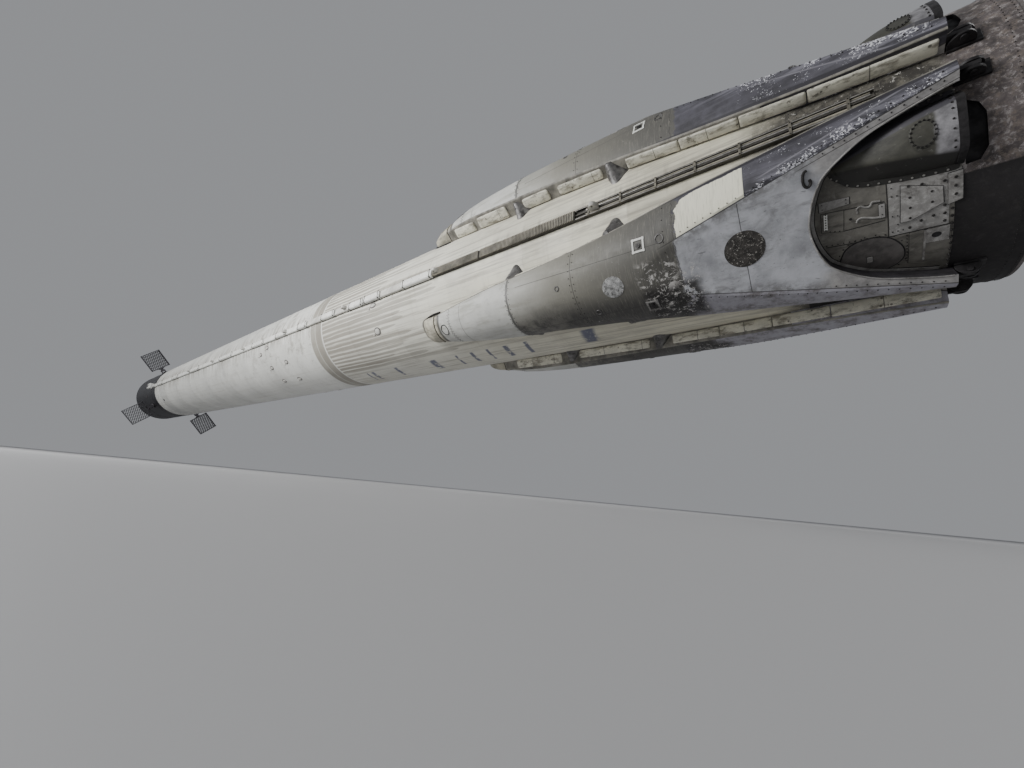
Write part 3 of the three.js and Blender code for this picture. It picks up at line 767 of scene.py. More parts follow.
def finish_of(make):
    """The material of that name or function, drawn once."""
    name = make if isinstance(make, str) else make.__name__
    if name not in MADE:
        if name in STAINED:
            roughness, metallic, *grain = STAINED[name][0]
            f = Finish(name, roughness, metallic)
            MADE[name] = f.close(stained_surface(f, name), *grain)
        else:
            MADE[name] = worn_surface(name) if name in WORN else make()
    return MADE[name]


def hull_axes(f):
    """Station, angle in degrees, and degrees round the hull from the nearest raceway."""
    x, y, z = f.axes(f.spot)
    angle = z.math("ARCTAN2", y).math("DEGREES")
    return x - FEET, angle, abs(abs(angle + 90) - 90)


def tank_paint():
    f = Finish("tank_paint")
    station, _, below = hull_axes(f)
    grimy = station.rise(8, 15, 0.7, 0.15) * below.rise(15, 60, 1, 0.25)
    shade = f.mottled(tint("tank"), 0.06, 0.9).stained(
        (tint("tank", 0.82), 1, 0.5, 0.8, (1.4, 0.12), 3, 0.6),
        (tint("soot", 1.4), below.rise(2, 24, 0.85, 0), 0.41, 0.62, (9, 0.9), 5),
        (tint("soot", 1.2), grimy, 0.5, 0.64, 4, 7, 0.78, 0.4),
        (tint("soot", 2), 0.35, 0.5, 0.75, (0.5, 18)))
    barrel = ((station - RING_FRONT) / 1.5).math("FRACT")
    shade = shade.over(tint("tank", 0.6), barrel.line(0.5, 0.006) * 0.35)
    return f.close(shade, 30, 0.08, roughness=f.noise(3, 4, 0.6).rise(0.3, 0.7, 0.34, 0.56))


def ring_paint():
    f = Finish("ring_paint", 0.55)
    station = hull_axes(f)[0]
    middle = (RING_AFT + RING_FRONT) / 2
    shade = f.mottled(tint("ring"), 0.16, 3).stained((tint("soot", 1.5), 0.8, 0.45, 0.72, (1.2, 9), 4, 0.6))
    shade = shade.over(tint("soot", 1.3), station.band(RING_AFT + 0.05, middle, 0.03) * 0.45)
    edges = any_of(station.line(RING_AFT + 0.014, 0.024), station.line(RING_FRONT - 0.014, 0.024),
        station.line(middle + 0.02, 0.015) * 0.5)
    return f.close(shade.over(tint("tank"), edges * 0.85), 60, 0.15)


def fuel_paint():
    f = Finish("fuel_paint")
    station, angle, below = hull_axes(f)
    shade = f.mottled(tint("cream"), 0.12, 1.6).over(tint("tank"), station.rise(1, 6.5, 0, 0.65))
    shade = shade.stained((tint("soot", 1.7), 0.75, 0.48, 0.66, (0.7, 30)),
        (tint("soot", 1.3), station.rise(5, 2, 0.1, 0.6), 0.46, 0.66, (0.8, 9), 6, 0.72, 0.4),
        (tint("soot", 1.9), 0.3, 0.56, 0.74, (22, 0.8), 4, 0.6))

    # Worn blue bars low on the sides. Columns: station, width
    bars = ((2.7, 0.11), (3.52, 0.04), (3.83, 0.05), (4.13, 0.03), (4.41, 0.04), (4.7, 0.03), (5.2, 0.09),
            (6.08, 0.05), (6.72, 0.06), (6.88, 0.03))
    slanted = station + angle * 0.003
    marks = any_of(*(slanted.line(at - 0.252, width) for at, width in bars))
    flaked = f.noise(9).rise(0.4, 0.48)
    shade = shade.over((0.03, 0.045, 0.13), marks * angle.band(-92, -75, 0.4) * flaked * 0.8)

    # Long streaks of soot, one to a lane round the hull, each with its own width and end
    lanes = angle / 4.5 + f.noise((0.64, 3.52), 3, 0.6)
    across = lanes.math("FRACT")
    chance = f.node("ShaderNodeTexWhiteNoise", {"W": lanes.math("FLOOR")}, "Value", noise_dimensions="1D")
    edge = (chance * 17).math("FRACT") * 0.34 + 0.6
    end = abs(across - 0.48) ** 2 * 1.2 + chance * 1.5 + 4.4
    streaks = across.rise(0.05, 0.2) * (across - edge).rise(-0.07, 0.07, 1, 0) * (station - end).rise(0, 0.05)
    streaks = streaks * below.rise(66, 74, 1, 0) * station.rise(4.7, 7.2, 0.55, 0.85)
    shade = shade.over(tint("soot", 1.2), streaks).stained(
        (tint("soot", 1.5), station.rise(5.6, 7, 0, 0.45), 0.42, 0.6, (0.4, 22), 5, 0.65),
        (tint("soot"), station.rise(5.5, 3, 0, 0.5), 0.52, 0.75, (1.2, 3)),
        (tint("soot"), below.rise(2, 12, 0.7, 0), 0.5, 0.66, (9, 0.9), 5))

    # Dark outlines round the legs' tip caps, and the burnt aft end
    outline = ((station - 4.4) / 0.44) ** 4 + ((below - 45) / 10) ** 4
    shade = shade.over((0.07, 0.064, 0.053), outline.rise(1.3, 1.6, 0.9, 0) * station.rise(4.4, 4.45))
    ragged = station + f.noise(3, 6, 0.6) * 0.5
    shade = shade.over(stained_surface(f, "scorched"), ragged.rise(1.02, 1.42, 0.95, 0))
    return f.close(shade, 40, 0.12, roughness=f.noise(4, 4, 0.6).rise(0.3, 0.7, 0.5, 0.72))


def section_paint():
    f = Finish("section_paint", 0.75)
    station, _, below = hull_axes(f)
    shade = f.mottled(tint("section"), 0.5, 12, 8).stained(
        ((0.17, 0.14, 0.12), 0.85, 0.47, 0.6, 30, 8, 0.78),
        ((0.34, 0.315, 0.305), 0.85, 0.51, 0.62, 24, 8, 0.82, 0.4),
        ((0.035, 0.031, 0.031), 0.75, 0.52, 0.64, 14, 8, 0.8, 0.4))
    shade = shade.over(stained_surface(f, "scorched"), station.rise(-0.03, 0.05))
    return f.close(shade.over((0.008, 0.007, 0.008), below.rise(40.6, 41.4) * 0.95), 45, 0.5, 0.003)


def leg_coordinates(f):
    """Station and distance across a leg; the noises then differ from leg to leg."""
    place, shift = f.attribute("place"), f.attribute("shift", "Fac")
    moved = {0: place, 1: f.node("ShaderNodeCombineXYZ", {0: shift})}
    f.spot = f.node("ShaderNodeVectorMath", moved, operation="ADD")
    along, across, _ = f.axes(place)
    return along, across, shift


def crease_at(station):
    """Half the width of a leg's aft face, between its creases."""
    return 0.612 - 0.2513 * station


def leg_paint():
    f = Finish("leg_paint")
    along, across, shift = leg_coordinates(f)
    ragged = f.noise(14) - 0.5
    s, t = along + ragged * 0.06, across + ragged * 0.06
    crease = crease_at(along)
    above, below = across - crease, across + crease

    # Tip, middle and scoured aft face
    tip = f.mottled(tint("tip"), 0.12, 3).stained((tint("leg", 2), 0.7, 0.46, 0.7, (2, 14), 6, 0.65),
        (tint("leg", 1.6), 0.6, 0.56, 0.72, 7, 7, 0.75))
    tip = tip.over(stained_surface(f, "cap_paint"), along.rise(4.38, 4.39))
    dark = along.rise(1.6, 2.9, 0.75, 0) | across.rise(0.12, -0.24, 0, 0.9)
    middle = f.blend(tint("leg", 1.55), (0.042, 0.04, 0.04), dark)
    middle = middle.stained((tint("leg", 2), 0.4, 0.5, 0.7, (130, 9), 5),
        ((0.27, 0.26, 0.225), s.rise(2.2, 3.2, 0, 0.7), 0.4, 0.62, 5, 8, 0.75),
        ((0.52, 0.51, 0.48), f.noise(3, 2, 0.6).rise(0.5, 0.62), 0.62, 0.68, 34, 8, 0.8))
    middle = middle.over(tip, s.rise(2.55, 3.2, 0, 0.45) * across.rise(-0.2, 0.1))
    clouds = f.noise(2.6, 8, 0.72, 0.4)
    face = f.mottled(tint("face"), 0.26, 5, 8).over((0.56, 0.57, 0.6), clouds.rise(0.42, 0.62, 0, 0.75))
    edge_dirt = above.rise(-0.1, 0, 0, 0.8) | below.rise(0.1, 0, 0, 0.8)
    face = face.stained(((0.2, 0.2, 0.2), 0.75, 0.5, 0.72, 4.2, 8, 0.75, 1),
        ((0.17, 0.165, 0.165), 0.6, 0.54, 0.74, (3, 14), 7),
        ((0.12, 0.12, 0.12), 0.6, 0.66, 0.7, (9, 55), 3, 0.6, 0.6),
        ((0.08, 0.08, 0.08), 0.7, 0.66, 0.72, 95, 3, 0.6),
        ((0.15, 0.145, 0.14), edge_dirt, 0.38, 0.6, 16, 7, 0.75))
    shade = middle.over(tip, s.rise(3.19, 3.23))
    shade = shade.over(face, s.rise(1.53, 1.56, 1, 0) * above.rise(0, 0.006, 1, 0))

    # The strips outside the creases, pale chips along the upper one
    torn = ragged * 0.16
    strip = above.rise(-0.004, 0.004) * (along + torn).rise(1.515, 1.525, 1, 0)
    # The upper strip is dark paint; its bluish cast and the paler bluish haze towards the crease are painted
    # light from above
    dull = f.mottled((0.055, 0.053, 0.066), 0.45, 7, 7).stained(
        ((0.3, 0.295, 0.34), above.rise(0, 0.11, 0.75, 0.1), 0.44, 0.64, (2, 24)))
    cluster = f.noise(8, 3, 0.6).rise(0.38, 0.62, -0.1, 0.045)
    chips = cluster + f.noise(78, 4) + above.rise(0, 0.09, 0.07, -0.07)
    flakes = chips.rise(0.58, 0.61) * along.band(0.06, 1.04, 0.04) * strip
    shade = shade.over(dull, strip * 0.94).over((0.7, 0.7, 0.74), flakes * 0.9)
    shade = shade.over((0.22, 0.215, 0.24), above.line(0.068, 0.006) * strip * along.rise(1, 0.9) * 0.7)
    lower = below.rise(-0.004, 0.004, 1, 0) * along.rise(1.5, 1.6, 1, 0)
    fouled = f.blend((0.36, 0.35, 0.39), (0.1, 0.085, 0.08), f.noise(9, 7, 0.75).rise(0.42, 0.7))
    arms = along.rise(0.72, 0.62) * abs(across).rise(0.28, 0.36) * (1 - strip) * (1 - lower)
    worn = f.mottled((0.33, 0.315, 0.3), 0.35, 12, 7)
    shade = shade.over(fouled, lower * 0.85).over(worn, arms * 0.75)
    # Painted contact shadow: a near-black band along the outer edge of the upper strip, where the leg meets
    # the hull
    outer = across + along * 0.104
    shade = shade.over((0.022, 0.02, 0.026), outer.rise(0.642, 0.65) * along.rise(1.95, 1.85) * 0.9)

    # The peeled patch beside the upper crease, and the burnt one beside the lower
    corner = (((along - 1.38) / 0.135) | 0) ** 2 + (((outer - 0.585) / 0.055) | 0) ** 2 + torn * 6
    patch = corner.rise(1, 1.08, 1, 0) * along.rise(1.052, 1.056) * above.rise(0.004, 0.008)
    patch = patch * shift.rise(28, 29)
    fresh = f.blend(tint("patch"), tint("patch", 0.8), f.noise((150, 8), 4, 0.6).rise(0.48, 0.66))
    burnt = s.band(1.42, 1.86, 0.05) * t.band(-0.46, -0.1, 0.05) * f.noise(8, 6, 0.75).rise(0.4, 0.47)
    curls = s.band(1.42, 1.84, 0.05) * t.band(-0.42, 0.02, 0.05) * f.noise(24, 7, 0.8, 0.6).rise(0.555, 0.58)
    flaps = s.band(1.58, 1.86, 0.04) * t.band(-0.12, 0.1, 0.05) * f.noise(11, 6, 0.75, 0.6).rise(0.54, 0.56)
    curls = curls | flaps
    shade = shade.over(fresh, patch).over((0.02, 0.018, 0.017), burnt * 0.95)
    shade = shade.over((0.62, 0.6, 0.57), curls * 0.9)

    # Seams between the panels
    seams = any_of(along.line(1.105, 0.004) * above.rise(0, -0.01) * below.rise(-0.01, 0),
        s.line(1.545, 0.004), s.line(3.215, 0.022), along.line(4.385, 0.035),
        along.line(4.15, 0.006), along.line(3.95, 0.004), along.line(2.46, 0.004),
        (above.line(0, 0.005) | below.line(0, 0.005)) * along.rise(1.7, 1.6),
        abs(across).line(0.236, 0.003) * along.band(1.6, 3.1),
        (across - crease * 0.93).line(0, 0.0035) * along.rise(0.8, 0.7))
    shade = shade.over((0.035, 0.033, 0.03), seams * 0.8)
    raised = f.noise(60, 5) + any_of(patch, curls, flakes) * 1.2 - seams * 1.5
    return f.close(shade, bump=0.35, roughness=clouds.rise(0.3, 0.7, 0.45, 0.75), height=raised)


def wall_paint():
    f = Finish("wall_paint")
    along = leg_coordinates(f)[0]
    shade = f.mottled(tint("wall"), 0.16, 6, 7).stained(
        ((0.2, 0.18, 0.14), 0.85, 0.46, 0.62, (6, 18), 8, 0.75),
        ((0.1, 0.09, 0.07), 0.8, 0.58, 0.66, 9, 7, 0.8, 0.5))
    cells = f.node("ShaderNodeTexVoronoi", {"Vector": f.spot, "Scale": 14}, "Distance")
    chipped = cells.rise(0.09, 0.16, 0.9, 0) * f.noise(6, 2, 0.6).rise(0.42, 0.5)
    seams = any_of(*(along.line(at, 0.004) for at in (0.33, 1.28, 1.7, 2.3, 2.78, 3.52, 3.9)))
    shade = shade.over((0.09, 0.08, 0.065), chipped).over((0.05, 0.045, 0.04), seams * 0.8)
    return f.close(shade, 50, 0.25)


def blister_paint():
    f = Finish("blister_paint", 0.5)
    station, offset, _ = f.axes(f.attribute("place"))
    base = f.mottled(tint("olive"), 0.35, 9, 7).stained(
        ((0.085, 0.083, 0.068), 0.85, 0.46, 0.7, 6, 8, 0.75, 0.5))
    # Painted light and shade: the pale bluish cast on the upper side is painted light from above, and the
    # near-black on the lower side is painted shade
    lit_upper_side = (offset + station * 12).rise(6.6, 7.1)
    lower = (offset - station * 12).rise(-9, -8.2, 1, 0)
    base = base.over((0.07, 0.067, 0.08), lit_upper_side * 0.8).over((0.016, 0.015, 0.013), lower * 0.95)
    base = base.stained(((0.2, 0.195, 0.18), 0.5, 0.6, 0.68, 24, 6, 0.75))
    metal = f.mottled((0.23, 0.225, 0.235), 0.5, 9, 7)
    bare = (station + f.noise(12, 6, 0.6) * 0.05).rise(0.115, 0.15, 0.9, 0)
    return f.close(base.over(metal, bare * (1 - lower) * (1 - lit_upper_side)), 55, 0.35)


def nozzle_paint():
    f = Finish("nozzle_paint", 0.38, 0.9)
    station = hull_axes(f)[0]
    base = f.mottled((0.3, 0.28, 0.27), 0.25, 10)
    base = base.over((0.075, 0.062, 0.058), station.rise(-0.95, -0.55, 1, 0) * 0.85)
    return f.close(base.stained(((0.05, 0.045, 0.045), 0.85, 0.48, 0.72, (2, 18))), 90, 0.15, 0.001)


# Hull


def framed(profile, radius=0):
    """The profile at its place in the frame, its heights over the given radius."""
    return [(FEET + station, radius + height) for station, height in profile]


def beaded(aft, front, stations):
    """Heights over the hull with a low weld bead at each station."""
    bead = sizes().bead
    beads = ((s + x, height) for s in stations for x, height in
             ((-0.014, 0), (-0.006, bead), (0.006, bead), (0.014, 0)))
    return [(aft, 0), *beads, (front, 0)]


def solid_hull(profile):
    """A body from heights over the hull, closed to the axis."""
    return Shape().turned(framed([(profile[0][0], -HULL), *profile, (profile[-1][0], -HULL)], HULL))


# Stations of the weld beads
LOX_WELDS, FUEL_WELDS = np.linspace(9.36, 18.36, 7), np.linspace(1.95, 6.6, 5)
# The forward dome's rise over the tank's end, its radius and the radius of its flat end
DOME_RISE, DOME_RADIUS, DOME_FLAT = 0.56, 0.875, 0.12
# Small fittings on the sides of the tanks. Columns: station, angle, length, width
FITTINGS = ((9.746, -11.8, 0.1, 0.05), (10.09, -18, 0.1, 0.05), (9.74, -38.6, 0.12, 0.06),
    (9.016, -36.6, 0.12, 0.06), (9.63, -60, 0.12, 0.06), (8.971, -61.7, 0.12, 0.06),
    (5.856, -33.6, 0.12, 0.09), (5.877, -8.9, 0.12, 0.05))


def boss(shape, station, angle, long, wide, height, paint=0):
    """A small oval fitting on the hull, domed at its edge."""
    half = degrees_round(wide / 2)
    rings = []
    for share, lift in ((1, -0.01), (1, height * 0.6), (0.86, height), (0.3, height * 1.05)):
        outline = oval((station, angle), long / 2 * share, half * share, 16)
        rings.append([on_hull(*p, lift) for p in outline])
    shape.loft(rings, paint)


class BOOSTER_OT_tanks(bpy.types.Operator):
    """Both tanks and the ring between them"""

    bl_idname = "booster.tanks"
    bl_label = "Tanks"

    def execute(self, context):
        groove = LOX_FRONT - 0.66
        lox = beaded(RING_FRONT + 0.0003, groove - 0.03, LOX_WELDS)
        lox += [(groove - 0.012, -0.004), (groove + 0.012, -0.004), (groove + 0.03, 0), (LOX_FRONT, 0)]
        for turn in np.linspace(math.pi / 2, math.asin(DOME_FLAT / DOME_RADIUS), 25):
            lox.append((LOX_FRONT + DOME_RISE * math.cos(turn), DOME_RADIUS * math.sin(turn) - HULL))
        build("lox_tank_skin", solid_hull(lox), [tank_paint], "lox_tank", "tank_white")
        band = [(RING_AFT, 0), (RING_AFT + 0.02, 0.004), (RING_AFT + 0.03, 0.002), (RING_FRONT - 0.03, 0.002),
            (RING_FRONT - 0.02, 0.004), (RING_FRONT, 0)]
        build("tank_ring_skin", solid_hull(band), [ring_paint], "tank_ring", "ring_grey")
        fuel = beaded(SECTION_FRONT, RING_AFT, FUEL_WELDS)
        build("fuel_tank_skin", solid_hull(fuel), [fuel_paint], "fuel_tank", "sooty_white")

        fittings, vents = Shape(), Shape()
        for station, angle, long, wide in FITTINGS:
            for turn in (angle, 180 - angle):
                boss(fittings, station, turn, long, wide, 0.01)
                boss(fittings, station, turn, long + 0.035, wide + 0.035, 0.003, 1)
                boss(fittings, station + 0.1, turn - 2.2, 0.04, 0.03, 0.012)
        build("tank_fittings", fittings, ["raceway_grey", "door_paint"])
        for turn in (-39.4, 219.4):
            boss(vents, 18.93, turn, 0.12, 0.08, 0.004)
        build("tank_vents", vents, ["burnt_black"])
        return {"FINISHED"}


# Corners of the dark pocket behind each blister. Columns: station, degrees towards the raceway
POCKET = ((-0.022, 6.8), (-0.08, 7.2), (-0.112, 11), (-0.112, 22.5), (-0.088, 26.5), (-0.022, 29.5))
# Degrees from a leg's middle to its hinges
HINGE_OFFSET = 37.6
SECTION_LIP = 0.0025


def clevises():
    """Two ears and a pin at the foot of every leg arm."""
    block = Shape().box((-0.15, -0.046, HULL - 0.01), (-0.004, 0.046, HULL + 0.014))
    ear = rounded([(-0.125, HULL), (-0.125, 0.965), (-0.095, 1.003), (-0.045, 1.003), (-0.004, 0.965),
        (-0.004, HULL)], 0.02)
    for low, high in ((-0.034, -0.016), (0.016, 0.034)):
        block.join(Shape().prism(ear, low, high), lambda p: (p[0], p[2], p[1]))
    pin = Shape().turned(both_ways([(-0.044, 0), (-0.044, 0.017)]), 20)
    block.join(pin, lambda p: (p[1] - 0.07, p[0], p[2] + 0.975))
    block.box((-0.1, -0.013, 0.93), (-0.001, 0.013, 0.998))
    shape = Shape()
    for angle in LEG_ANGLES:
        for offset in (-HINGE_OFFSET, HINGE_OFFSET):
            matrix = outward(angle + offset)
            shape.join(block, lambda p: matrix @ Vector(p))
    return shape


class BOOSTER_OT_engine_section(bpy.types.Operator):
    """The scorched skin behind the legs' feet, with its pockets and hinge clevises"""

    bl_idname = "booster.engine_section"
    bl_label = "Engine section"

    def execute(self, context):
        aft, front, wall, lip = SECTION_AFT, SECTION_FRONT, 0.03, SECTION_LIP
        profile = [(aft, -wall), (aft, 0), (aft + 0.05, lip), (aft + 0.075, lip), (aft + 0.08, 0), (-0.02, 0),
            (front - 0.09, 0), (front - 0.085, lip), (front, lip), (front, -wall)]
        skin = make_mesh(Shape().turned(framed(profile, HULL)), [section_paint, "burnt_black"])
        pocket = flat_plate(rounded(POCKET, 0.02, 3), -0.024, 0.02)
        pockets = Shape()
        for number, angle, side, matrix in legs():
            pockets.join(pocket, beside(angle, side))
        mesh = carve(skin, make_mesh(pockets, [section_paint]))
        for face in mesh.polygons:
            x, y, z = face.center
            face.material_index = math.hypot(y, z) < HULL - 0.004 and aft + 0.02 < x - FEET < 0
        show("engine_section_skin", soften(mesh), "engine_section", "section_grey")
        build("leg_hinges", clevises(), ["burnt_metal"], slot="section_grey", bevel=0.002)
        rivets = []
        for station in (aft + 0.015, aft + 0.062, front - 0.02, front - 0.065):
            rivets += hull_row((station, 0), (station, 360), sizes().rivet_pitch, lip)
        show_heads("section_rivets", hull_places(rivets), sizes().rivet)
        return {"FINISHED"}


# Legs, drawn in stations, metres across from their middle and metres above the axis

# Raised pads on the side walls, as first and last stations
AFT_PADS = ((0.03, 0.645), (0.652, 1.055), (1.062, 1.49), (1.498, 1.955))
FRONT_PADS = {1: ((2.2, 2.7), (2.82, 3.16), (3.4, 3.88), (3.95, 4.32)), -1: ((2.21, 3.13), (3.4, 4.2))}
# The flat aft face: its height at the feet, its rise per metre and where it ends
FACE_HEIGHT, FACE_SLOPE, FACE_END = 0.89, 0.165, 2.2


def leg_section(station):
    """Half-angle of the walls, radii of their edge, the crown and its arc, and the half width."""
    half_angle, edge, crown = smooth_row(LEG_SECTIONS, station)[1:]
    turn = math.radians(half_angle)
    half_width, rise = edge * math.sin(turn), crown - edge * math.cos(turn)
    return half_angle, edge, crown, (half_width ** 2 + rise ** 2) / (2 * rise), half_width


def leg_face(station):
    return FACE_HEIGHT + FACE_SLOPE * station


def leg_height(station, across):
    """Height of a leg's outer skin over the hull axis."""
    crown, arc, half_width = leg_section(station)[2:]
    inside = min(abs(across), half_width)
    top = crown - arc + math.sqrt(max(arc ** 2 - inside ** 2, 0))
    return min(top, leg_face(station)) if station < FACE_END else top


def leg_place(station, across, lift=0, step=0.01):
    """A point over a leg's skin, with the skin's direction there."""
    slope_s = (leg_height(station + step, across) - leg_height(station - step, across)) / (2 * step)
    slope_t = (leg_height(station, across + step) - leg_height(station, across - step)) / (2 * step)
    out = Vector((-slope_s, -slope_t, 1)).normalized()
    return Vector((station, across, leg_height(station, across))) + out * lift, out, (1, 0, 0)


def on_leg(*where):
    return leg_place(*where)[0]


def on_wall(station, height, side, lift=0):
    """A point over a leg's side wall, at a radius of the hull."""
    turn = math.radians(leg_section(station)[0]) + lift / height
    return (station, side * height * math.sin(turn), height * math.cos(turn))


def mirrored(ring):
    return [(x, -y, z) for x, y, z in reversed(ring)]


def leg_ring(station):
    """One closed section of a leg, with rounded edges and a line of points on each crease."""
    edge, crown, arc, half_width = leg_section(station)[1:]
    drop = crown - leg_face(station)
    crease = math.sqrt(max(arc ** 2 - (arc - drop) ** 2, 0)) if drop > 0 and station < FACE_END else 0
    crease = min(max(crease, 0.03), half_width - 0.02)
    soft = 0.008
    outer = np.linspace(half_width - soft, crease, 8)
    across = [*outer, *np.linspace(crease, -crease, 15)[1:-1], *(-outer[::-1])]
    wall = [on_wall(station, radius, 1) for radius in (0.9, 0.93, 0.97, edge - 0.03, edge - soft)]
    x, y, z = on_wall(station, edge - soft * 0.3, 1)
    wall.append((x, y - soft * 0.12, z))
    return wall + [(station, y, leg_height(station, y)) for y in across] + mirrored(wall)


def opening_outline(grow=0):
    """The edge of the opening between the arms, as [station, across] points from one foot to the other."""
    half = []
    for station, across in LEG_OPENING:
        turned = (station / LEG_OPENING[-1][0]) ** 6
        half.append((station - grow * turned, across - grow * (1 - turned)))
    return [tuple(point) for point in rounded_path(half + [(s, -t) for s, t in half[-2::-1]], 6)]


def wall_pads():
    """Raised pads with softened edges on both side walls."""
    shape = Shape()
    for side in (-1, 1):
        for first, last in AFT_PADS + FRONT_PADS[side]:
            edge = min(leg_section(first)[1], leg_section(last)[1]) - 0.02
            outline = rounded([(first, 0.928), (last, 0.928), (last, edge), (first, edge)],
                0.012 if first < 1.6 else 0.03)
            middle = Vector((first + last, 0.928 + edge)) / 2
            half = Vector((last, edge)) - middle
            layers = []
            for inset, lift in ((0, -0.004), (0, 0.008), (0.004, 0.013), (0.01, 0.016)):
                scale = Vector((1 - inset / half.x, 1 - inset / half.y))
                layers.append([(*(middle + (Vector(c) - middle) * scale), lift) for c in outline])
            shape.join(sliced(Shape().loft(layers), (0.12, 0)), lambda p: on_wall(p[0], p[1], side, p[2]))
    return shape


def conformed(shape, station, across):
    """The shape, drawn about its own centre, laid on the leg's skin."""
    return shape.moved(lambda p: on_leg(station + p[0], across + p[1], p[2]))


def hoop(radius, thick, paint):
    section = ((-thick, -0.002), (thick, -0.002), (thick * 0.6, 0.005), (-thick * 0.6, 0.005))
    rings = [[((radius + r) * x, (radius + r) * y, z) for r, z in section] for x, y in circle(28)]
    return Shape().loft(rings, paint, closed=True)


def leg_fittings():
    """Square frames, rings, small bosses, the edge bead and the hook."""
    shape = Shape()
    for across, paint in ((0.264, 0), (-0.255, 3)):
        for turn in range(4):
            rail = Shape().box((-0.052, 0.036, -0.002), (0.052, 0.05, 0.005), paint)
            for _ in range(turn):
                rail.moved(lambda p: (-p[1], p[0], p[2]))
            shape.join(conformed(sliced(rail, (0.02, 0.02)), 1.82, across))
        shape.join(conformed(Shape().prism(circle(16, 0.018), -0.002, 0.007, 1), 1.82, across))
    for station, across, radius, paint in ((1.65, 0.267, 0.03, 2), (2.3, -0.2, 0.022, 2),
            (2.62, 0.12, 0.02, 2), (4.275, 0, 0.065, 1)):
        shape.join(conformed(hoop(radius, 0.006, paint), station, across))
    shape.bar([on_leg(*p) for p in opening_outline(-0.003) if p[0] > 0.004], 0.0055, 8, 3)
    crook = ((0.7, 0.378), (0.716, 0.37), (0.724, 0.345), (0.725, 0.31), (0.718, 0.284), (0.704, 0.274),
        (0.69, 0.283), (0.686, 0.303), (0.693, 0.318))
    return shape.bar([on_leg(*p, 0.008) for p in rounded_path(crook)], 0.0085, 8, 1)


def leg_discs():
    """The large dark disc on the aft face and the pale one on the crown."""
    shape = Shape()
    for station, radius, paint in ((1.105, 0.13, 0), (2.09, 0.094, 1)):
        rings = []
        for share, lift in ((1, -0.003), (1, 0.002), (0.95, 0.003), (0.5, 0.003), (0.05, 0.003)):
            rings.append([(x, y, lift) for x, y in circle(48, radius * share)])
        shape.join(conformed(Shape().loft(rings, paint), station, 0))
    return shape


def leg_bolts():
    places = []
    for station in np.arange(0.06, 1.52, 0.055):
        crease = crease_at(station)
        for side in (-1, 1):
            places.append(leg_place(station, side * (crease + 0.03), 0.001))
            if station < 0.66:
                places.append(leg_place(station, side * (crease - 0.016), 0.001))
    for station in (1.62, 2.44, 2.48, 3.19, 3.24, 4.13, 4.17):
        half = leg_section(station)[4] - 0.03
        places += [leg_place(station, across, 0.0005) for across in np.linspace(-half, half, 13)]
    return places


class BOOSTER_OT_legs(bpy.types.Operator):
    """The four stowed legs with their discs, frames, pads and bolts"""

    bl_idname = "booster.legs"
    bl_label = "Legs"

    def execute(self, context):
        skin = Shape().loft([leg_ring(s) for s in np.linspace(0, LEG_LENGTH, 113)])
        opening = make_mesh(Shape().prism(opening_outline(), 0.5, 1.5), [leg_paint])
        leg = carve(make_mesh(skin, [leg_paint, "back_paint", "inner_paint"]), opening)
        # Outer side walls take the dark wall paint, partly grime and partly painted shade in the gaps between
        # the pads
        for face in leg.polygons:
            station, across, height = face.center
            lateral = abs(face.normal.z) < 0.55
            outer = abs(math.degrees(math.atan2(across, height))) > leg_section(station)[0] - 0.6
            # Walls inside the opening take near-black painted shade
            face.material_index = 1 if lateral and outer else 2 if lateral else 0
        drawn_at(soften(leg, 32))
        pads = drawn_at(make_mesh(wall_pads(), [wall_paint]))
        fittings = make_mesh(leg_fittings(), ["frame_white", "bolt_dark", "latch_paint", "plate_paint"])
        discs = make_mesh(leg_discs(), ["dark_disc", "pale_disc"])
        bolts = leg_bolts()
        for number, angle, side, matrix in legs():
            show(f"leg_skin_{number}", number_leg(place(leg, matrix), number), f"leg_{number}", "leg_grey")
            show(f"leg_wall_pads_{number}", number_leg(place(pads, matrix), number))
            show(f"leg_fittings_{number}", place(fittings, matrix))
            show(f"leg_discs_{number}", place(discs, matrix))
            show_heads(f"leg_bolts_{number}", bolts, 0.0045, matrix)
        return {"FINISHED"}


# Opening skins and blisters, drawn in stations and degrees towards the raceway

# Raised plates. Columns: height, paint, corners
PLATES = (
    (0.005, 1, ((0.312, 9.5), (0.312, -12.9), (0.045, -13.2), (0.045, -5), (-0.008, -4.4), (-0.008, 6.5))),
    (0.013, 1, ((0.254, 5.9), (0.26, -8.1), (0.215, -8.2), (0.07, -4.3), (0.074, 1.8))),
    (0.009, 1, ((0.05, 5.4), (0.05, -5.6), (-0.01, -4.6), (-0.01, 5.6))),
    (0.009, 1, ((0.146, -13.8), (0.038, -13.8), (0.038, -20.2), (0.146, -19.7))),
    (0.0065, 0, ((0.218, -13.6), (0.218, -28.5), (0.03, -34.5), (0.03, -13.6))),
    (0.01, 1, ((0.152, -13.8), (0.152, -28), (0.142, -28.2), (0.142, -13.8))),
    (0.0085, 1, ((0.656, 8.3), (0.497, 7.5), (0.5, 4.8), (0.658, 4.5))),
    (0.0065, 0, ((0.65, 3.6), (0.655, -4.1), (0.54, -5.8), (0.53, 2.9))),
    (0.01, 2, ((0.636, 3), (0.642, -3.5), (0.622, -3.5), (0.616, 3))),
    (0.0085, 1, ((0.359, 1.2), (0.359, -4.2), (0.33, -4.2), (0.33, 1.2))),
    (0.012, 1, ((0.428, -20.6), (0.428, -23.3), (0.398, -23.3), (0.398, -20.6))),
)
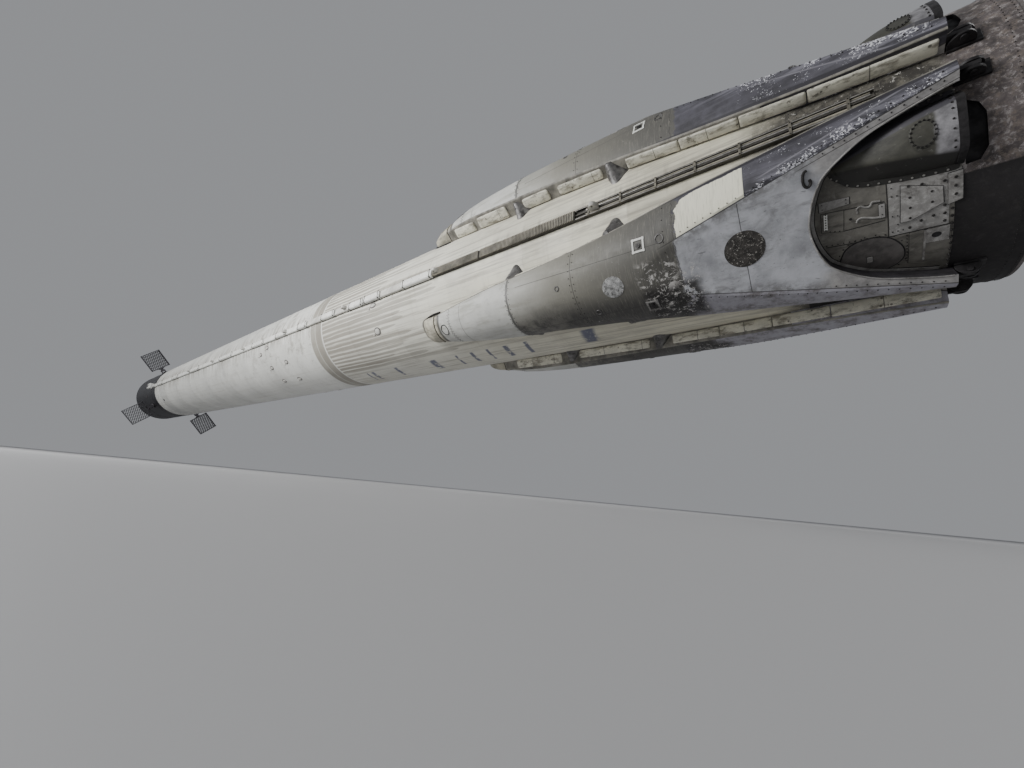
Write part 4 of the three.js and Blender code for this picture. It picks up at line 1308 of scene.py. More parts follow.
SEAMS = (((0.317, 9.3), (0.317, -12.9)), ((0.64, -11.4), (0.3, -13.2)), ((0.3, -13.2), (0.045, -13.4)),
    ((0.218, -13.6), (0.218, -28.5)), ((0.139, -20), (0.03, -20.4)), ((0.142, -27.6), (0.03, -28.6)),
    ((0.53, 2.9), (0.33, 1.8)), ((0.54, -5.8), (0.33, -5.6)))
DOOR = ((0.573, -19.4), (0.54, -14.6), (0.48, -12.2), (0.383, -11.7), (0.3, -13.9), (0.241, -19.4),
    (0.243, -25.4), (0.322, -29.5), (0.46, -28.5), (0.565, -24), (0.573, -19.4))
BEADS = (((0.47, -3.6), (0.462, -2.5), (0.44, -2.2), (0.408, -2.9), (0.375, -3.6), (0.349, -3.8)),
    ((0.462, 0.1), (0.464, 1.8), (0.445, 2.5), (0.42, 1.5), (0.4, 1.6), (0.386, 2.9), (0.35, 2.5)))
LARGE_BOLTS = ((0.019, 0.6), (0.018, -2.4), (0.064, 3.4), (0.018, 3.6), (0.22, 5), (0.216, 0.8),
    (0.215, -3.1), (0.216, -7.1), (0.119, 0.9), (0.118, -3), (0.064, -5.5), (0.063, -8.6), (0.112, -8.5),
    (0.166, -9.3), (0.217, -11.1), (0.063, -11.6), (0.499, -1.5), (0.16, 4.4))
SMALL_BOLTS = ((0.297, -11.4), (0.272, -11.4), (0.248, -11.4), (0.296, 2.8), (0.272, 2.7), (0.296, -4.9),
    (0.272, -5.1), (0.344, 0.2), (0.344, -2.9), (0.296, 6), (0.272, -8.6), (0.64, 7.2), (0.64, 5.4),
    (0.515, 6.8), (0.515, 5.4), (0.61, -4.6), (0.585, -5), (0.56, -5.3))


def grown(outline, margin):
    """The outline pushed outwards by a margin in metres."""
    middle = middle_of(outline)
    pushed = []
    for away in (Vector(p) - middle for p in outline):
        far = max(math.hypot(away.x, metres_round(away.y)), 0.01)
        pushed.append(middle + away * (1 + margin * 1.2 / far))
    return pushed


def raised_plates(door):
    """Doubler plates with dark edges, seams, the oval door and its hole."""
    shape = Shape()
    for height, paint, corners in PLATES:
        outline = rounded(corners, 0.012, 2)
        shape.join(flat_plate(outline, 0.001, height, paint))
        shape.join(flat_plate(grown(outline, 0.0035), 0.001, height - 0.0025, 3))
    for seam in SEAMS:
        start, end = Vector(seam[0]), Vector(seam[1])
        along = end - start
        flat = Vector((along.x, metres_round(along.y))).normalized() * 0.0022
        across = Vector((-flat.y, degrees_round(flat.x)))
        shape.join(flat_plate((start + across, end + across, end - across, start - across), 0.001, 0.0042, 3))
    for inset, height, paint in ((0, 0.0062, 3), (0.006, 0.008, 4)):
        shape.join(flat_plate(grown(door, -inset), 0.001, height, paint))
    return shape.join(flat_plate(oval((0.095, -16.7), 0.022, 1.1, 20), 0.004, 0.0115, 3))


def rim(near, far, height, paint):
    """A strip along the opening's edge, between two distances from it."""
    edge = [Vector(p) for p in opening_outline() if p[0] > 0.05]
    lines = []
    for distance in (near, far):
        lines.append([])
        for i, point in enumerate(edge):
            along = heading(edge, i)
            s, t = point + Vector((along.y, -along.x)) * distance
            lines[-1].append((s, math.degrees(math.asin(t / HULL))))
    return flat_plate(lines[0] + lines[1][::-1], 0.001, height, paint)


class BOOSTER_OT_openings(bpy.types.Operator):
    """The hull skin between a leg's arms: doubler plates, an oval door, seams and bolts"""

    bl_idname = "booster.openings"
    bl_label = "Opening skins"

    def execute(self, context):
        paints = ["panel_paint", "plate_paint", "frame_white", "burnt_black", "door_paint"]
        edge = [(s, math.degrees(math.asin(t / HULL))) for s, t in opening_outline(0.001) if s > 0.03]
        skin = flat_plate([(-0.006, 6.6), (-0.006, 33.5), (0.022, 36.5), *edge, (0.022, -36.5), (0.022, -4.9),
            (-0.006, -4.4)], -0.003, 0.003)
        skin.join(rim(0.001, 0.03, 0.0045, 3)).join(rim(0.005, 0.025, 0.0085, 1))
        door = rounded_path(DOOR)[:-1]
        plates = raised_plates(door)
        large = [(*p, 0.008) for p in LARGE_BOLTS] + hull_row((0.031, -7.5), (0.027, -34), 0.045, 0.006)
        small = [(*p, 0.007) for p in SMALL_BOLTS] + hull_row((0.229, -14.4), (0.227, -27), 0.024, 0.005)
        small += hull_row((0.626, 2.9), (0.632, -3.4), 0.018, 0.011)
        small += hull_row((0.636, -10.7), (0.33, -12), 0.03, 0.004)
        small += [(*p, 0.0045) for p in grown(door[::2], 0.01)]
        for number, angle, side, matrix in legs():
            to_hull = beside(angle, side)
            build(f"opening_skin_{number}", Shape().join(skin, to_hull), paints)
            raised = Shape().join(plates, to_hull)
            for path in BEADS:
                raised.bar([to_hull((*p, 0.004)) for p in rounded_path(path)], 0.006, 8, 1)
            build(f"opening_plates_{number}", raised, paints, bevel=0.0018, segments=1)
            show_heads(f"opening_bolts_{number}", hull_places(large, angle, side), 0.0085)
            show_heads(f"opening_rivets_{number}", hull_places(small, angle, side), 0.0042)
        return {"FINISHED"}


# Columns: station, half width of the foot, half width of the top, height
BLISTER_SECTIONS = ((0.015, 0.203, 0.125, 0.134), (0.12, 0.196, 0.113, 0.13), (0.23, 0.184, 0.096, 0.119),
    (0.33, 0.166, 0.077, 0.096), (0.43, 0.146, 0.05, 0.064), (0.5, 0.118, 0.03, 0.04),
    (0.55, 0.07, 0.014, 0.02), (0.576, 0.02, 0.005, 0.006))
# Middle of the access patch, as station and metres across
PATCH_AT = (0.16, 0)


def blister_profile(station):
    """Half widths and heights of a section, from its crown to its foot."""
    foot, top, height = smooth_row(BLISTER_SECTIONS, station)[1:]
    widths = (0, top * 0.5, top * 0.8, top * 0.95, top * 1.04, foot * 0.42 + top * 0.58, foot * 0.93, foot)
    return widths, (*(height * share for share in (1, 0.99, 0.965, 0.91, 0.82, 0.49, 0.1)), -0.012)


def on_blister(station, across, lift):
    """Station, degrees from the blister's middle and height over the hull."""
    height = float(np.interp(abs(across), *blister_profile(station)))
    return (station, degrees_round(across), height + lift)


def blister_ring(station, grow=0):
    half = [(station, degrees_round(width + grow), height + (grow if height > 0 else 0))
            for width, height in zip(*blister_profile(station))]
    return half[::-1] + mirrored(half[:0:-1])


def flange_edge(inset=0):
    """The flange's outer edge around the lower side and the tip, as [station, across]."""
    edge = [(s, inset - 0.022 - blister_profile(s)[0][-1]) for s in np.linspace(0, 0.55, 12)]
    edge += [(0.585 - inset * 0.7, -0.06), (0.602 - inset, 0)]
    return edge + [(s, -y) for s, y in edge[-2::-1]]


class BOOSTER_OT_blisters(bpy.types.Operator):
    """The wedge fairings in the leg openings, with their flanges and access patches"""

    bl_idname = "booster.blisters"
    bl_label = "Blisters"

    def execute(self, context):
        body = Shape().loft([blister_ring(s) for s in np.linspace(0.016, 0.576, 29)])
        body.loft([blister_ring(*p) for p in ((0.022, 0.0035), (-0.014, 0.0035), (-0.014, -0.006),
            (0.004, -0.006))], [3, 3, 2])
        patch = []
        for share, lift in ((1, -0.003), (1, 0.0035), (0.93, 0.0045), (0.86, 0.0045), (0.83, 0.003),
                (0.4, 0.003)):
            patch.append([on_blister(*p, lift) for p in oval(PATCH_AT, 0.058 * share, 0.071 * share, 32)])
        body.loft(patch, [3, 0, 0, 3, 0])
        outline = [(s, degrees_round(y)) for s, y in rounded(flange_edge(), 0.02, 2)]
        body.join(sliced(Shape().prism(outline, -0.003, 0.0065), (0, 3)))
        light = [(s, BLISTER_OFFSET + degrees_round(y), 0.0075) for s, y in flange_edge(0.011)[1:]]
        dark = [on_blister(0.038, metres_round(turn), 0.001) for turn in (6.3, 4.4, 1.3, -1.6, -5.1, -7, 8)]
        dark += [on_blister(*p, 0.0045) for p in oval(PATCH_AT, 0.052, 0.064, 18)]
        dark = [(s, BLISTER_OFFSET + turn, lift) for s, turn, lift in dark]
        paints = [blister_paint, "latch_paint", "burnt_black", "burnt_metal"]
        for number, angle, side, matrix in legs():
            mesh = make_mesh(Shape().join(body, beside(angle, side, BLISTER_OFFSET)), paints, 28)
            number_leg(drawn_at(mesh, body.points), number)
            show(f"blister_skin_{number}", mesh, f"blister_{number}", "fitting_grey")
            show_heads(f"blister_bolts_{number}", hull_places(dark, angle, side), 0.006)
            flange_bolts = hull_places(light, angle, side)
            show_heads(f"flange_bolts_{number}", flange_bolts, sizes().bolt, make="bolt_light")
        return {"FINISHED"}


# Latches and tip caps, drawn as the legs are

# A fitting's outline at its foot and at its crest: aft, fore, tip aft, tip fore, reach, height
LATCH_BASE = (-0.18, 0.1, -0.06, 0.015, 0.17, 0.885)
LATCH_CREST = (-0.012, 0.066, 0.012, 0.048, 0.028, 1.034)
# The cap's form. Columns: share of its length, width, height
CAP = ((0, 1, 1), (0.5, 0.96, 0.82), (0.82, 0.8, 0.5), (1, 0.5, 0.14))
CAP_LENGTH = 0.36


def lean(point, side, turn):
    """From (station, out of the wall, height along the wall) to the leg's drawing."""
    station, out, height = point
    return (station, side * (height * math.sin(turn) + out * math.cos(turn)),
            height * math.cos(turn) - out * math.sin(turn))


def latch_fitting(shape, station, side, turn):
    """A tapered lug that leans against a leg's wall, with a round pin in it."""
    rings = []
    for share in (0, 0.25, 0.6, 0.9, 1):
        *outline, height = (b + (c - b) * (share ** 0.85 if i < 5 else share)
                            for i, (b, c) in enumerate(zip(LATCH_BASE, LATCH_CREST)))
        aft, fore, tip_aft, tip_fore, reach = outline
        corners = ((aft, -0.03), (fore, -0.03), (fore, 0), (tip_fore, reach), (tip_aft, reach), (aft, 0))
        rings.append([lean((station + x, out, height), side, turn)
                      for x, out in rounded(corners, 0.022 + 0.02 * (1 - share))])
    crest = middle_of(rings[-1])
    rise = Vector(lean((0, 0, 0.012), side, turn))
    rings.append([crest + rise + (Vector(p) - crest) * 0.62 for p in rings[-1]])
    shape.loft(rings)
    shape.loft([[lean((station + 0.024 + x, out, 0.985 + h), side, turn) for x, h in circle(20, 0.017)]
                for out in (0.046, 0.058)], 1)


def strap_bolts():
    places = []
    for station in LATCH_STATIONS:
        for side in (-1, 1):
            turn = math.radians(side * (leg_section(station)[0] + 1.6))
            out = Vector((0, math.sin(turn), math.cos(turn)))
            for offset in (-0.018, 0.018):
                places.append((Vector((station + offset, 0, 0)) + out * (HULL + 0.0125), out, (1, 0, 0)))
    return places


def cap_ring(along, shrink=0):
    """A section of the cap at a share of its length, with its inside left open."""
    width, height = smooth_row(CAP, along)[1:]
    station, half_angle, edge, crown = LEG_SECTIONS[-1]
    turn = math.radians(half_angle * width)
    edge, crown = (HULL + (radius - HULL) * height - shrink for radius in (edge, crown))
    half = edge * math.sin(turn) - shrink
    rise = crown - edge * math.cos(turn)
    arc = (half ** 2 + rise ** 2) / (2 * rise)
    station += 0.012 + along * (CAP_LENGTH - 0.012)
    wall = [(station, half * r / edge, r * math.cos(turn)) for r in (0.905, (0.905 + edge) / 2, edge - 0.006)]
    top = [(station, y, crown - arc + math.sqrt(max(arc ** 2 - y ** 2, 0)))
           for y in np.linspace(half - 0.004, 0.004 - half, 19)]
    return wall + top + mirrored(wall)


def tip_cap():
    """The cap over a leg's tip, with a bead round its foot and a dark band at its mouth."""
    shape = Shape().loft([cap_ring(u) for u in (*np.linspace(0, 0.9, 16), 0.94, 0.97, 1)])
    foot = [(ring[2][0], ring[2][1] + 0.005) for ring in (cap_ring(u, -0.004) for u in np.linspace(0, 1, 14))]
    front = [(foot[-1][0] + 0.004, foot[-1][1] * share) for share in (0.7, 0.35, 0, -0.35, -0.7)]
    foot += front + [(x, -y) for x, y in foot[::-1]]
    shape.bar([(x, y, math.sqrt((HULL + 0.004) ** 2 - y ** 2)) for x, y in foot], 0.011, 8, 1)
    shape.loft([[(LEG_LENGTH - 0.02, y, z) for _, y, z in cap_ring(0, 0.006)], cap_ring(0.04, 0.006)], 1)
    return shape.bar([(s + 0.004, y, z) for s, y, z in cap_ring(0, -0.001)[2:-2]], 0.005)


class BOOSTER_OT_leg_ends(bpy.types.Operator):
    """The latches beside the legs and the caps over their tips"""

    bl_idname = "booster.leg_ends"
    bl_label = "Latches and tip caps"

    def execute(self, context):
        latches = Shape()
        for station in LATCH_STATIONS:
            wall = leg_section(station)[0]
            for side in (-1, 1):
                latch_fitting(latches, station, side, math.radians(wall))
            aft, fore, reach = station - 0.03, station + 0.03, wall + 3.2
            strap = ((aft, -reach), (fore, -reach), (fore, reach), (aft, reach))
            latches.join(sliced(Shape().prism(strap, HULL - 0.002, HULL + 0.012), (0, 3)),
                lambda p: (p[0], p[2] * math.sin(math.radians(p[1])), p[2] * math.cos(math.radians(p[1]))))
        latches.box((LATCH_STATIONS[0], -0.03, 0.9), (LATCH_STATIONS[1], 0.03, HULL + 0.01))
        mesh = make_mesh(latches, ["latch_paint", "bolt_dark"])
        cap = make_mesh(tip_cap(), ["cap_paint", "burnt_black"], 40)
        for number, angle, side, matrix in legs():
            show(f"leg_latch_set_{number}", place(mesh, matrix), f"leg_latches_{number}", "fitting_grey")
            show(f"leg_tip_{number}", place(cap, matrix), f"leg_tip_cap_{number}", "fitting_grey")
            show_heads(f"latch_bolts_{number}", strap_bolts(), 0.006, matrix)
        return {"FINISHED"}


# Raceways, drawn as the legs are

# Stations of the aft end, the end of the open part and the front end
RACEWAY_AFT, OPEN_END, RACEWAY_FRONT = 0.32, 2.45, 20.05
RACEWAY_HALF = 0.055
LOW_COVER = 0.04
# Raised covers. Columns: first station, last station, height
COVERS = ((4.51, 5.14, 0.058), (5.65, 6.08, 0.06), (6.11, 6.52, 0.052), (6.94, 7.41, 0.058),
    (7.92, 8.3, 0.058), (8.78, 9.27, 0.058), (9.86, 10.51, 0.056), (11.75, 12.68, 0.056),
    (14.38, 15.28, 0.056), (16.6, 17.3, 0.056), (18.6, 19.3, 0.056), (19.72, 20.05, 0.06))
# The low covers are ribbed up to the first raised one
RIBBED_END = 4.5
STRAPS = np.arange(RACEWAY_AFT + 0.12, OPEN_END, 0.31)
LUG_STATIONS = np.linspace(2.25, 15.35, 7)


def trough():
    """The open channel beside the legs, with two pipes and a cable under straps."""
    aft, end, half = RACEWAY_AFT, OPEN_END, RACEWAY_HALF
    shape = Shape().box((aft, -half, HULL - 0.01), (RACEWAY_FRONT, half, HULL + 0.008), 2)
    for y in (-half, half - 0.006):
        shape.box((aft, y, HULL), (end, y + 0.006, HULL + 0.032), 2)
        lip = y + (0.006 if y < 0 else -0.006)
        shape.box((aft, lip, HULL + 0.028), (end, lip + 0.006, HULL + 0.033), 3)
    shape.box((aft, -0.006, HULL), (end, 0.004, HULL + 0.026), 2)
    for y, radius, paint in ((-0.026, sizes().pipe, 4), (0.02, sizes().pipe * 0.8, 3), (0.038, 0.005, 4)):
        shape.bar([(s, y, HULL + 0.012 + radius) for s in np.arange(aft + 0.02, end, 0.2)], radius, 10, paint)
    for station in STRAPS:
        shape.box((station, -half, HULL), (station + 0.016, half, HULL + 0.037), 5)
    return shape


def segments():
    """Every cover in turn, low ones between the raised ones."""
    at = OPEN_END
    for first, last, height in COVERS:
        while first - at > 0.05:
            until = min(at + 1.25, first)
            yield at, until, LOW_COVER
            at = until
        yield first, last, height
        at = last


def covers():
    """The low and raised covers, with a foot and two bands for every raised one."""
    shape = Shape()
    half = RACEWAY_HALF
    for first, last, height in segments():
        low = height <= LOW_COVER
        slope = 0.01 if low else 0.016
        edge, top = HULL + height - slope, HULL + height
        section = ((-half, HULL - 0.005), (half, HULL - 0.005), (half, edge), (half - slope, top),
            (slope - half, top), (-half, edge))
        paint = 2 if first < RIBBED_END else 1 if not low or first > RING_FRONT else 0
        shape.loft([[(s, y, z) for y, z in section] for s in (first + 0.004, last - 0.004)], paint)
    for first, last, height in COVERS:
        shape.box((first - 0.01, -half - 0.008, HULL - 0.004), (last + 0.01, half + 0.008, HULL + 0.009), 2)
        for s in (first + 0.03, last - 0.05):
            shape.box((s, -half - 0.003, HULL), (s + 0.02, half + 0.003, HULL + height + 0.003), 2)
    return shape


def lugs():
    """The suspension lugs with their holes."""
    shape = Shape()
    ear = rounded(both_ways([(-0.044, HULL + 0.01), (-0.044, HULL + 0.06), (-0.022, HULL + 0.104)]), 0.02)
    for station in LUG_STATIONS:
        for outline, half, paint in ((ear, 0.021, 0), (oval((0, HULL + 0.082), 0.011, 0.011, 20), 0.0225, 1)):
            shape.join(Shape().prism(outline, -half, half, paint), lambda p: (p[0] + station, p[2], p[1]))
    return shape


def upright(points):
    return [(point, (0, 0, 1), (1, 0, 0)) for point in points]


class BOOSTER_OT_raceways(bpy.types.Operator):
    """The open and covered cable raceways along both sides, with the suspension lugs"""

    bl_idname = "booster.raceways"
    bl_label = "Raceways"

    def execute(self, context):
        paints = ["raceway_grey", "raceway_white", "raceway_dark", "bolt_light", "raceway_ribbed",
            "strap_brown"]
        meshes = [make_mesh(shape, paints) for shape in (trough(), covers())]
        meshes.append(make_mesh(lugs(), ["raceway_grey", "bolt_dark"]))
        ribs, screws = [], []
        for first, last, height in segments():
            if height <= LOW_COVER and first < RIBBED_END:
                ribs += [(s, 0, HULL + height) for s in np.arange(first + 0.02, last - 0.012, 0.0185)]
            if height > LOW_COVER:
                stations = np.linspace(first + 0.07, last - 0.07, max(2, round((last - first) / 0.14)))
                screws += [(s, y, HULL + height) for s in stations for y in (-0.03, 0.03)]
        screws += [(s + 0.008, y, HULL + 0.0372) for s in STRAPS for y in (-0.046, 0.003, 0.046)]
        for name, side in SIDES:
            matrix = outward(90 - RACEWAY_TURN * side, side)
            for piece, mesh, replaces, bevel in zip(("raceway_trough", "raceway_covers", "suspension_lugs"),
                    meshes, (f"raceway_{name}", None, None), (0, 0.006, 0.004)):
                show(f"{piece}_{name}", place(mesh, matrix), replaces, "raceway_cream", bevel=bevel)
            show_blocks(f"raceway_ribs_{name}", upright(ribs), (0.007, 2 * RACEWAY_HALF - 0.006, 0.012),
                "raceway_ribbed", matrix)
            show_heads(f"raceway_screws_{name}", upright(screws), 0.0045, matrix)
        return {"FINISHED"}


# Interstage and pods

# The shell's thickness, the height of its raised bands and the number of its ribs
SHELL_WALL, SHELL_LIP, SHELL_RIBS = 0.026, 0.003, 40


def interstage():
    """The shell with raised bands, rings inside, the fins' doubler discs and hatches."""
    aft, front, lip, wall = LOX_FRONT + 0.0003, NOSE, SHELL_LIP, -SHELL_WALL
    profile = [(aft, wall), (aft, lip), (LOX_FRONT + 0.08, lip), (LOX_FRONT + 0.083, 0), (20.33, 0),
        (20.333, lip), (20.4, lip), (20.403, 0), (21.72, 0), (21.723, lip), (21.78, lip), (21.783, 0),
        (front - 0.1, 0), (front - 0.097, lip), (front, lip), (front, -0.06), (front - 0.012, -0.06),
        (front - 0.012, wall)]
    shape = Shape().turned(framed(profile, HULL))
    for station in np.linspace(20.6, 22.9, 6):
        ring = both_ways([(0.02, 0.002), (0.02, -0.004), (0.004, -0.006), (0.004, -0.035)])
        shape.turned(framed([(station + x, wall + y) for x, y in ring], HULL), 96)
    for angle in LEG_ANGLES:
        hull_plate(shape, oval((FIN_STATION, angle), 0.096, degrees_round(0.096), 40), -0.005, 0.01)
    for station, angle, long, wide in ((22.3, -78, 0.17, 4.5), (21.2, -20, 0.11, 3), (22.45, 22, 0.09, 3.5)):
        for turn in (angle, 180 - angle):
            corners = [(station + long * x, turn + wide * y) for x, y in ((-1, -1), (1, -1), (1, 1), (-1, 1))]
            hull_plate(shape, corners, -0.002, 0.005, 1)
    return shape


def pusher():
    """A flanged ram on the tank's dome."""
    base, tip = DOME_FRONT, PUSHER_FRONT
    aft = ((0.0003, 0), (0.0003, 0.11), (0.024, 0.11), (0.03, 0.104), (0.06, 0.082), (0.14, 0.055),
        (0.22, 0.045), (0.6, 0.045), (0.605, 0.042), (0.645, 0.042), (0.65, 0.045))
    front = ((0.1, 0.045), (0.06, 0.04), (0.012, 0.04), (0, 0.028), (0, 0))
    profile = [(base + s, r) for s, r in aft] + [(tip - s, r) for s, r in front]
    return Shape().turned(framed(profile), 48)


def pod():
    """A bevelled box with six nozzles and a panel on either side."""
    half, width, cut, top = 0.199, 0.099, 0.03, HULL + 0.094
    corners = [(-half, cut - width), (cut - half, -width), (half - cut, -width), (half, cut - width),
        (half, width - cut), (half - cut, width), (cut - half, width), (-half, width - cut)]
    shape = Shape().loft([[(POD_STATION + x * k, y * k, z) for x, y in corners]
                          for k, z in ((1, HULL - 0.01), (1, top - 0.018), (0.94, top))])
    nozzle = Shape().turned([(0, 0), (0, 0.016), (0.003, 0.019), (0.0055, 0.022), (0.006, 0.018),
        (0.002, 0.01), (0.001, 0)], 20, 1)
    for x, y in ((-0.13, 0), (-0.07, 0), (0.07, 0), (0.13, 0), (0, 0.05), (0, -0.05)):
        shape.join(nozzle, lambda p: (POD_STATION + x + p[1], y + p[2], top - 0.001 + p[0]))
    for y in (-width, width):
        shape.box((POD_STATION - 0.12, y - 0.002, HULL + 0.02),
            (POD_STATION + 0.12, y + 0.002, HULL + 0.065), 2)
    return shape


class BOOSTER_OT_front(bpy.types.Operator):
    """The interstage with its ribs, the pusher rod and the thruster pods"""

    bl_idname = "booster.front"
    bl_label = "Interstage and pods"

    def execute(self, context):
        build("interstage_skin", interstage(), ["interstage_paint", "soot_metal"], "interstage",
            "interstage_black")
        long = NOSE - LOX_FRONT - 0.75
        ribs = [(NOSE - 0.06 - long / 2, 360 * (i + 0.5) / SHELL_RIBS, -SHELL_WALL - 0.008)
                for i in range(SHELL_RIBS)]
        show_blocks("interstage_ribs", hull_places(ribs), (long, 0.012, 0.022), "interstage_paint")
        rivets = []
        for station in (LOX_FRONT + 0.02, LOX_FRONT + 0.06, 20.35, 20.385, 21.74, 21.765, NOSE - 0.03,
                NOSE - 0.07):
            rivets += hull_row((station, 0), (station, 360), 0.07, SHELL_LIP)
        for angle in LEG_ANGLES:
            rivets += [(FIN_STATION + x, angle + degrees_round(y), 0.0095) for x, y in circle(12, 0.088)]
        show_heads("interstage_rivets", hull_places(rivets), 0.0045, make="soot_metal")

        build("pusher_rod", pusher(), ["bolt_light"], "stage_pusher", "fitting_grey")
        bolts = [((FEET + DOME_FRONT + 0.026, y, z), (1, 0, 0), (0, 0, 1)) for y, z in circle(12, 0.096)]
        show_heads("pusher_bolts", bolts, 0.006)

        mesh = make_mesh(pod(), ["raceway_white", "burnt_black", "soot_metal"])
        bolts = [(POD_STATION + x, y, HULL + 0.094) for x in np.linspace(-0.15, 0.15, 7)
                 for y in (-0.08, 0.08)]
        for name, side in SIDES:
            matrix = outward(90 - 90 * side, side)
            show(f"pod_{name}", place(mesh, matrix), f"thruster_pod_{name}", "raceway_cream", bevel=0.004)
            show_heads(f"pod_bolts_{name}", upright(bolts), 0.004, matrix)
        return {"FINISHED"}


# Grid fins, drawn as the legs are

# Heights of the frame's root, its tip and the hinge, then half width, half depth and rim
FIN_ROOT, FIN_TIP, FIN_HINGE = 1.112, 1.775, 1.012
FIN_HALF, FIN_DEPTH, FIN_RIM = 0.3, 0.06, 0.016


def bored(outline, hole):
    """The outline with as many points as the hole, matched by direction from the hole's centre."""
    centre = middle_of(hole)
    matched = []
    for point in hole:
        ray = (Vector(point) - centre).normalized()
        reaches = []
        for i, corner in enumerate(outline):
            start = Vector(outline[i - 1]) - centre
            edge = Vector(corner) - centre - start
            across = ray.cross(edge)
            if abs(across) > 1e-12 and -1e-6 <= start.cross(ray) / across <= 1 + 1e-6:
                reaches.append(start.cross(edge) / across)
        matched.append(tuple(centre + ray * max(reaches)))
    return matched


def fin_mount():
    """A turntable with two bored ears."""
    table = ((HULL + 0.0106, 0), (HULL + 0.0106, 0.08), (0.946, 0.08), (0.955, 0.072), (0.955, 0))
    shape = Shape().join(Shape().turned(table, 48), lambda p: (p[1], p[2], p[0]))
    hole = oval((0, FIN_HINGE), 0.024, 0.024, 24)
    ear = bored(rounded(both_ways([(-0.032, 0.94), (-0.032, 1.02), (-0.014, 1.043)]), 0.012), hole)
    for low, high in ((-0.0655, -0.0465), (0.0465, 0.0655)):
        shape.loft([[(x, y, z) for x, z in outline]
                    for outline, y in ((ear, low), (ear, high), (hole, high), (hole, low))], closed=True)
    bolt = Shape().turned([(0.953, 0), (0.953, 0.005), (0.9575, 0.004), (0.9575, 0)], 8, 1)
    for x, y in circle(12, 0.064, 0.5):
        if abs(y) < 0.04:
            shape.join(bolt, lambda p: (x + p[1], y + p[2], p[0]))
    return shape


def fin_frame():
    """The rim, the root arm and the hinge pin."""
    depth, half, low, high = FIN_DEPTH - 0.001, FIN_HALF - 0.001, FIN_ROOT + 0.001, FIN_TIP - 0.001
    shape = Shape().box((-depth, -half, low), (depth, half, FIN_ROOT + FIN_RIM))
    shape.box((-depth, -half, FIN_TIP - FIN_RIM), (depth, half, high))
    for start, end in ((-half, FIN_RIM - half), (half - FIN_RIM, half)):
        shape.box((-depth, start, low), (depth, end, high))
    arm = ((0.032, FIN_HINGE - 0.026), (0.039, FIN_HINGE), (0.039, FIN_ROOT + 0.005))
    shape.loft([[(-0.029, -w, z), (0.029, -w, z), (0.029, w, z), (-0.029, w, z)] for w, z in arm])
    for side in (-1, 1):
        gusset = ((side * 0.03, side * 0.039, FIN_ROOT - 0.04), (side * 0.03, side * 0.12, FIN_ROOT + 0.003))
        shape.loft([[(-0.02, y0, z), (0.02, y0, z), (0.02, y1, z), (-0.02, y1, z)] for y0, y1, z in gusset])
    pin = Shape().turned(both_ways([(-0.074, 0), (-0.074, 0.018), (-0.07, 0.022)]), 24, 1)
    return shape.join(pin, lambda p: (p[1], p[0], FIN_HINGE + p[2]))


def fin_cells():
    """The middle of every cell wall, and the length of one."""
    across = sizes().fin_cells
    y0, y1 = FIN_RIM - FIN_HALF, FIN_HALF - FIN_RIM
    z0, z1 = FIN_ROOT + FIN_RIM, FIN_TIP - FIN_RIM
    rows = 2 * round(across * (z1 - z0) / (y1 - y0))
    wide, high = (y1 - y0) / (2 * across), (z1 - z0) / rows
    places = []
    for i in range(2 * across):
        for j in range(rows):
            centre = (FIN_STATION, y0 + (i + 0.5) * wide, z0 + (j + 0.5) * high)
            places.append((centre, (1, 0, 0), (0, wide, high * (-1) ** (i + j))))
    return places, math.hypot(wide, high) + 0.003


class BOOSTER_OT_fins(bpy.types.Operator):
    """The grid fins on their turntables"""

    bl_idname = "booster.fins"
    bl_label = "Grid fins"

    def execute(self, context):
        mount, fin = (make_mesh(shape.moved(lambda p: (FIN_STATION + p[0], p[1], p[2])),
            ["fin_paint", "bolt_dark"]) for shape in (fin_mount(), fin_frame()))
        cells, long = fin_cells()
        for number, angle in enumerate(LEG_ANGLES, 1):
            matrix, turntable, swung = outward(angle), f"fin_mount_{number}", f"fin_{number}"
            show(f"fin_turntable_{number}", place(mount, matrix), turntable, "dark_metal", turntable, 0.003)
            show(f"fin_frame_{number}", place(fin, matrix), f"grid_fin_{number}", "dark_metal", swung, 0.002)
            show_blocks(f"fin_lattice_{number}", cells, (long, 0.005, 0.108), "fin_paint", matrix,
                slot="dark_metal", body=swung)
        return {"FINISHED"}


# Engines, drawn about their own axis

# Stations and radii of the bell, and its wall
THROAT, EXIT = -0.19, -0.95
THROAT_RADIUS, EXIT_RADIUS, BELL_WALL = 0.058, 0.225, 0.006
# Stations of the gimbal's axes with the radius of its barrels, then the thrust frame and the shield's holes
PITCH_AXIS, YAW_AXIS, BARREL = 0.31, 0.25, 0.026
FRAME_AFT, FRAME_FRONT = 0.56, 0.65
HOLE = 0.214
# Pipes beside the chamber, with their radii
ENGINE_PIPES = (
    (((0.1, 0.03, -0.045), (0.075, 0.06, -0.075), (0, 0.07, -0.07), (-0.16, 0.072, -0.07),
        (-0.235, 0.078, -0.07)), 0.011),
    (((0.1, -0.03, 0.045), (0.07, -0.055, 0.07), (0.02, -0.062, 0.062), (-0.02, -0.06, 0.06)), 0.009),
    (((-0.02, 0, 0.086), (-0.12, 0, 0.092), (-0.2, 0, 0.095), (-0.245, 0, 0.1)), 0.006),
)


def bell_radius(station):
    along = (station - THROAT) / (EXIT - THROAT)
    return THROAT_RADIUS + (EXIT_RADIUS - THROAT_RADIUS) * along ** 0.55 - 0.0012


def groove(axis, way):
    """Half a bore for a barrel, open towards the barrel's other block."""
    bore = BARREL + 0.001
    turns = np.linspace(0.08, math.pi - 0.08, 12)
    return [(axis + way * bore * math.sin(turn), -bore * math.cos(turn)) for turn in turns]


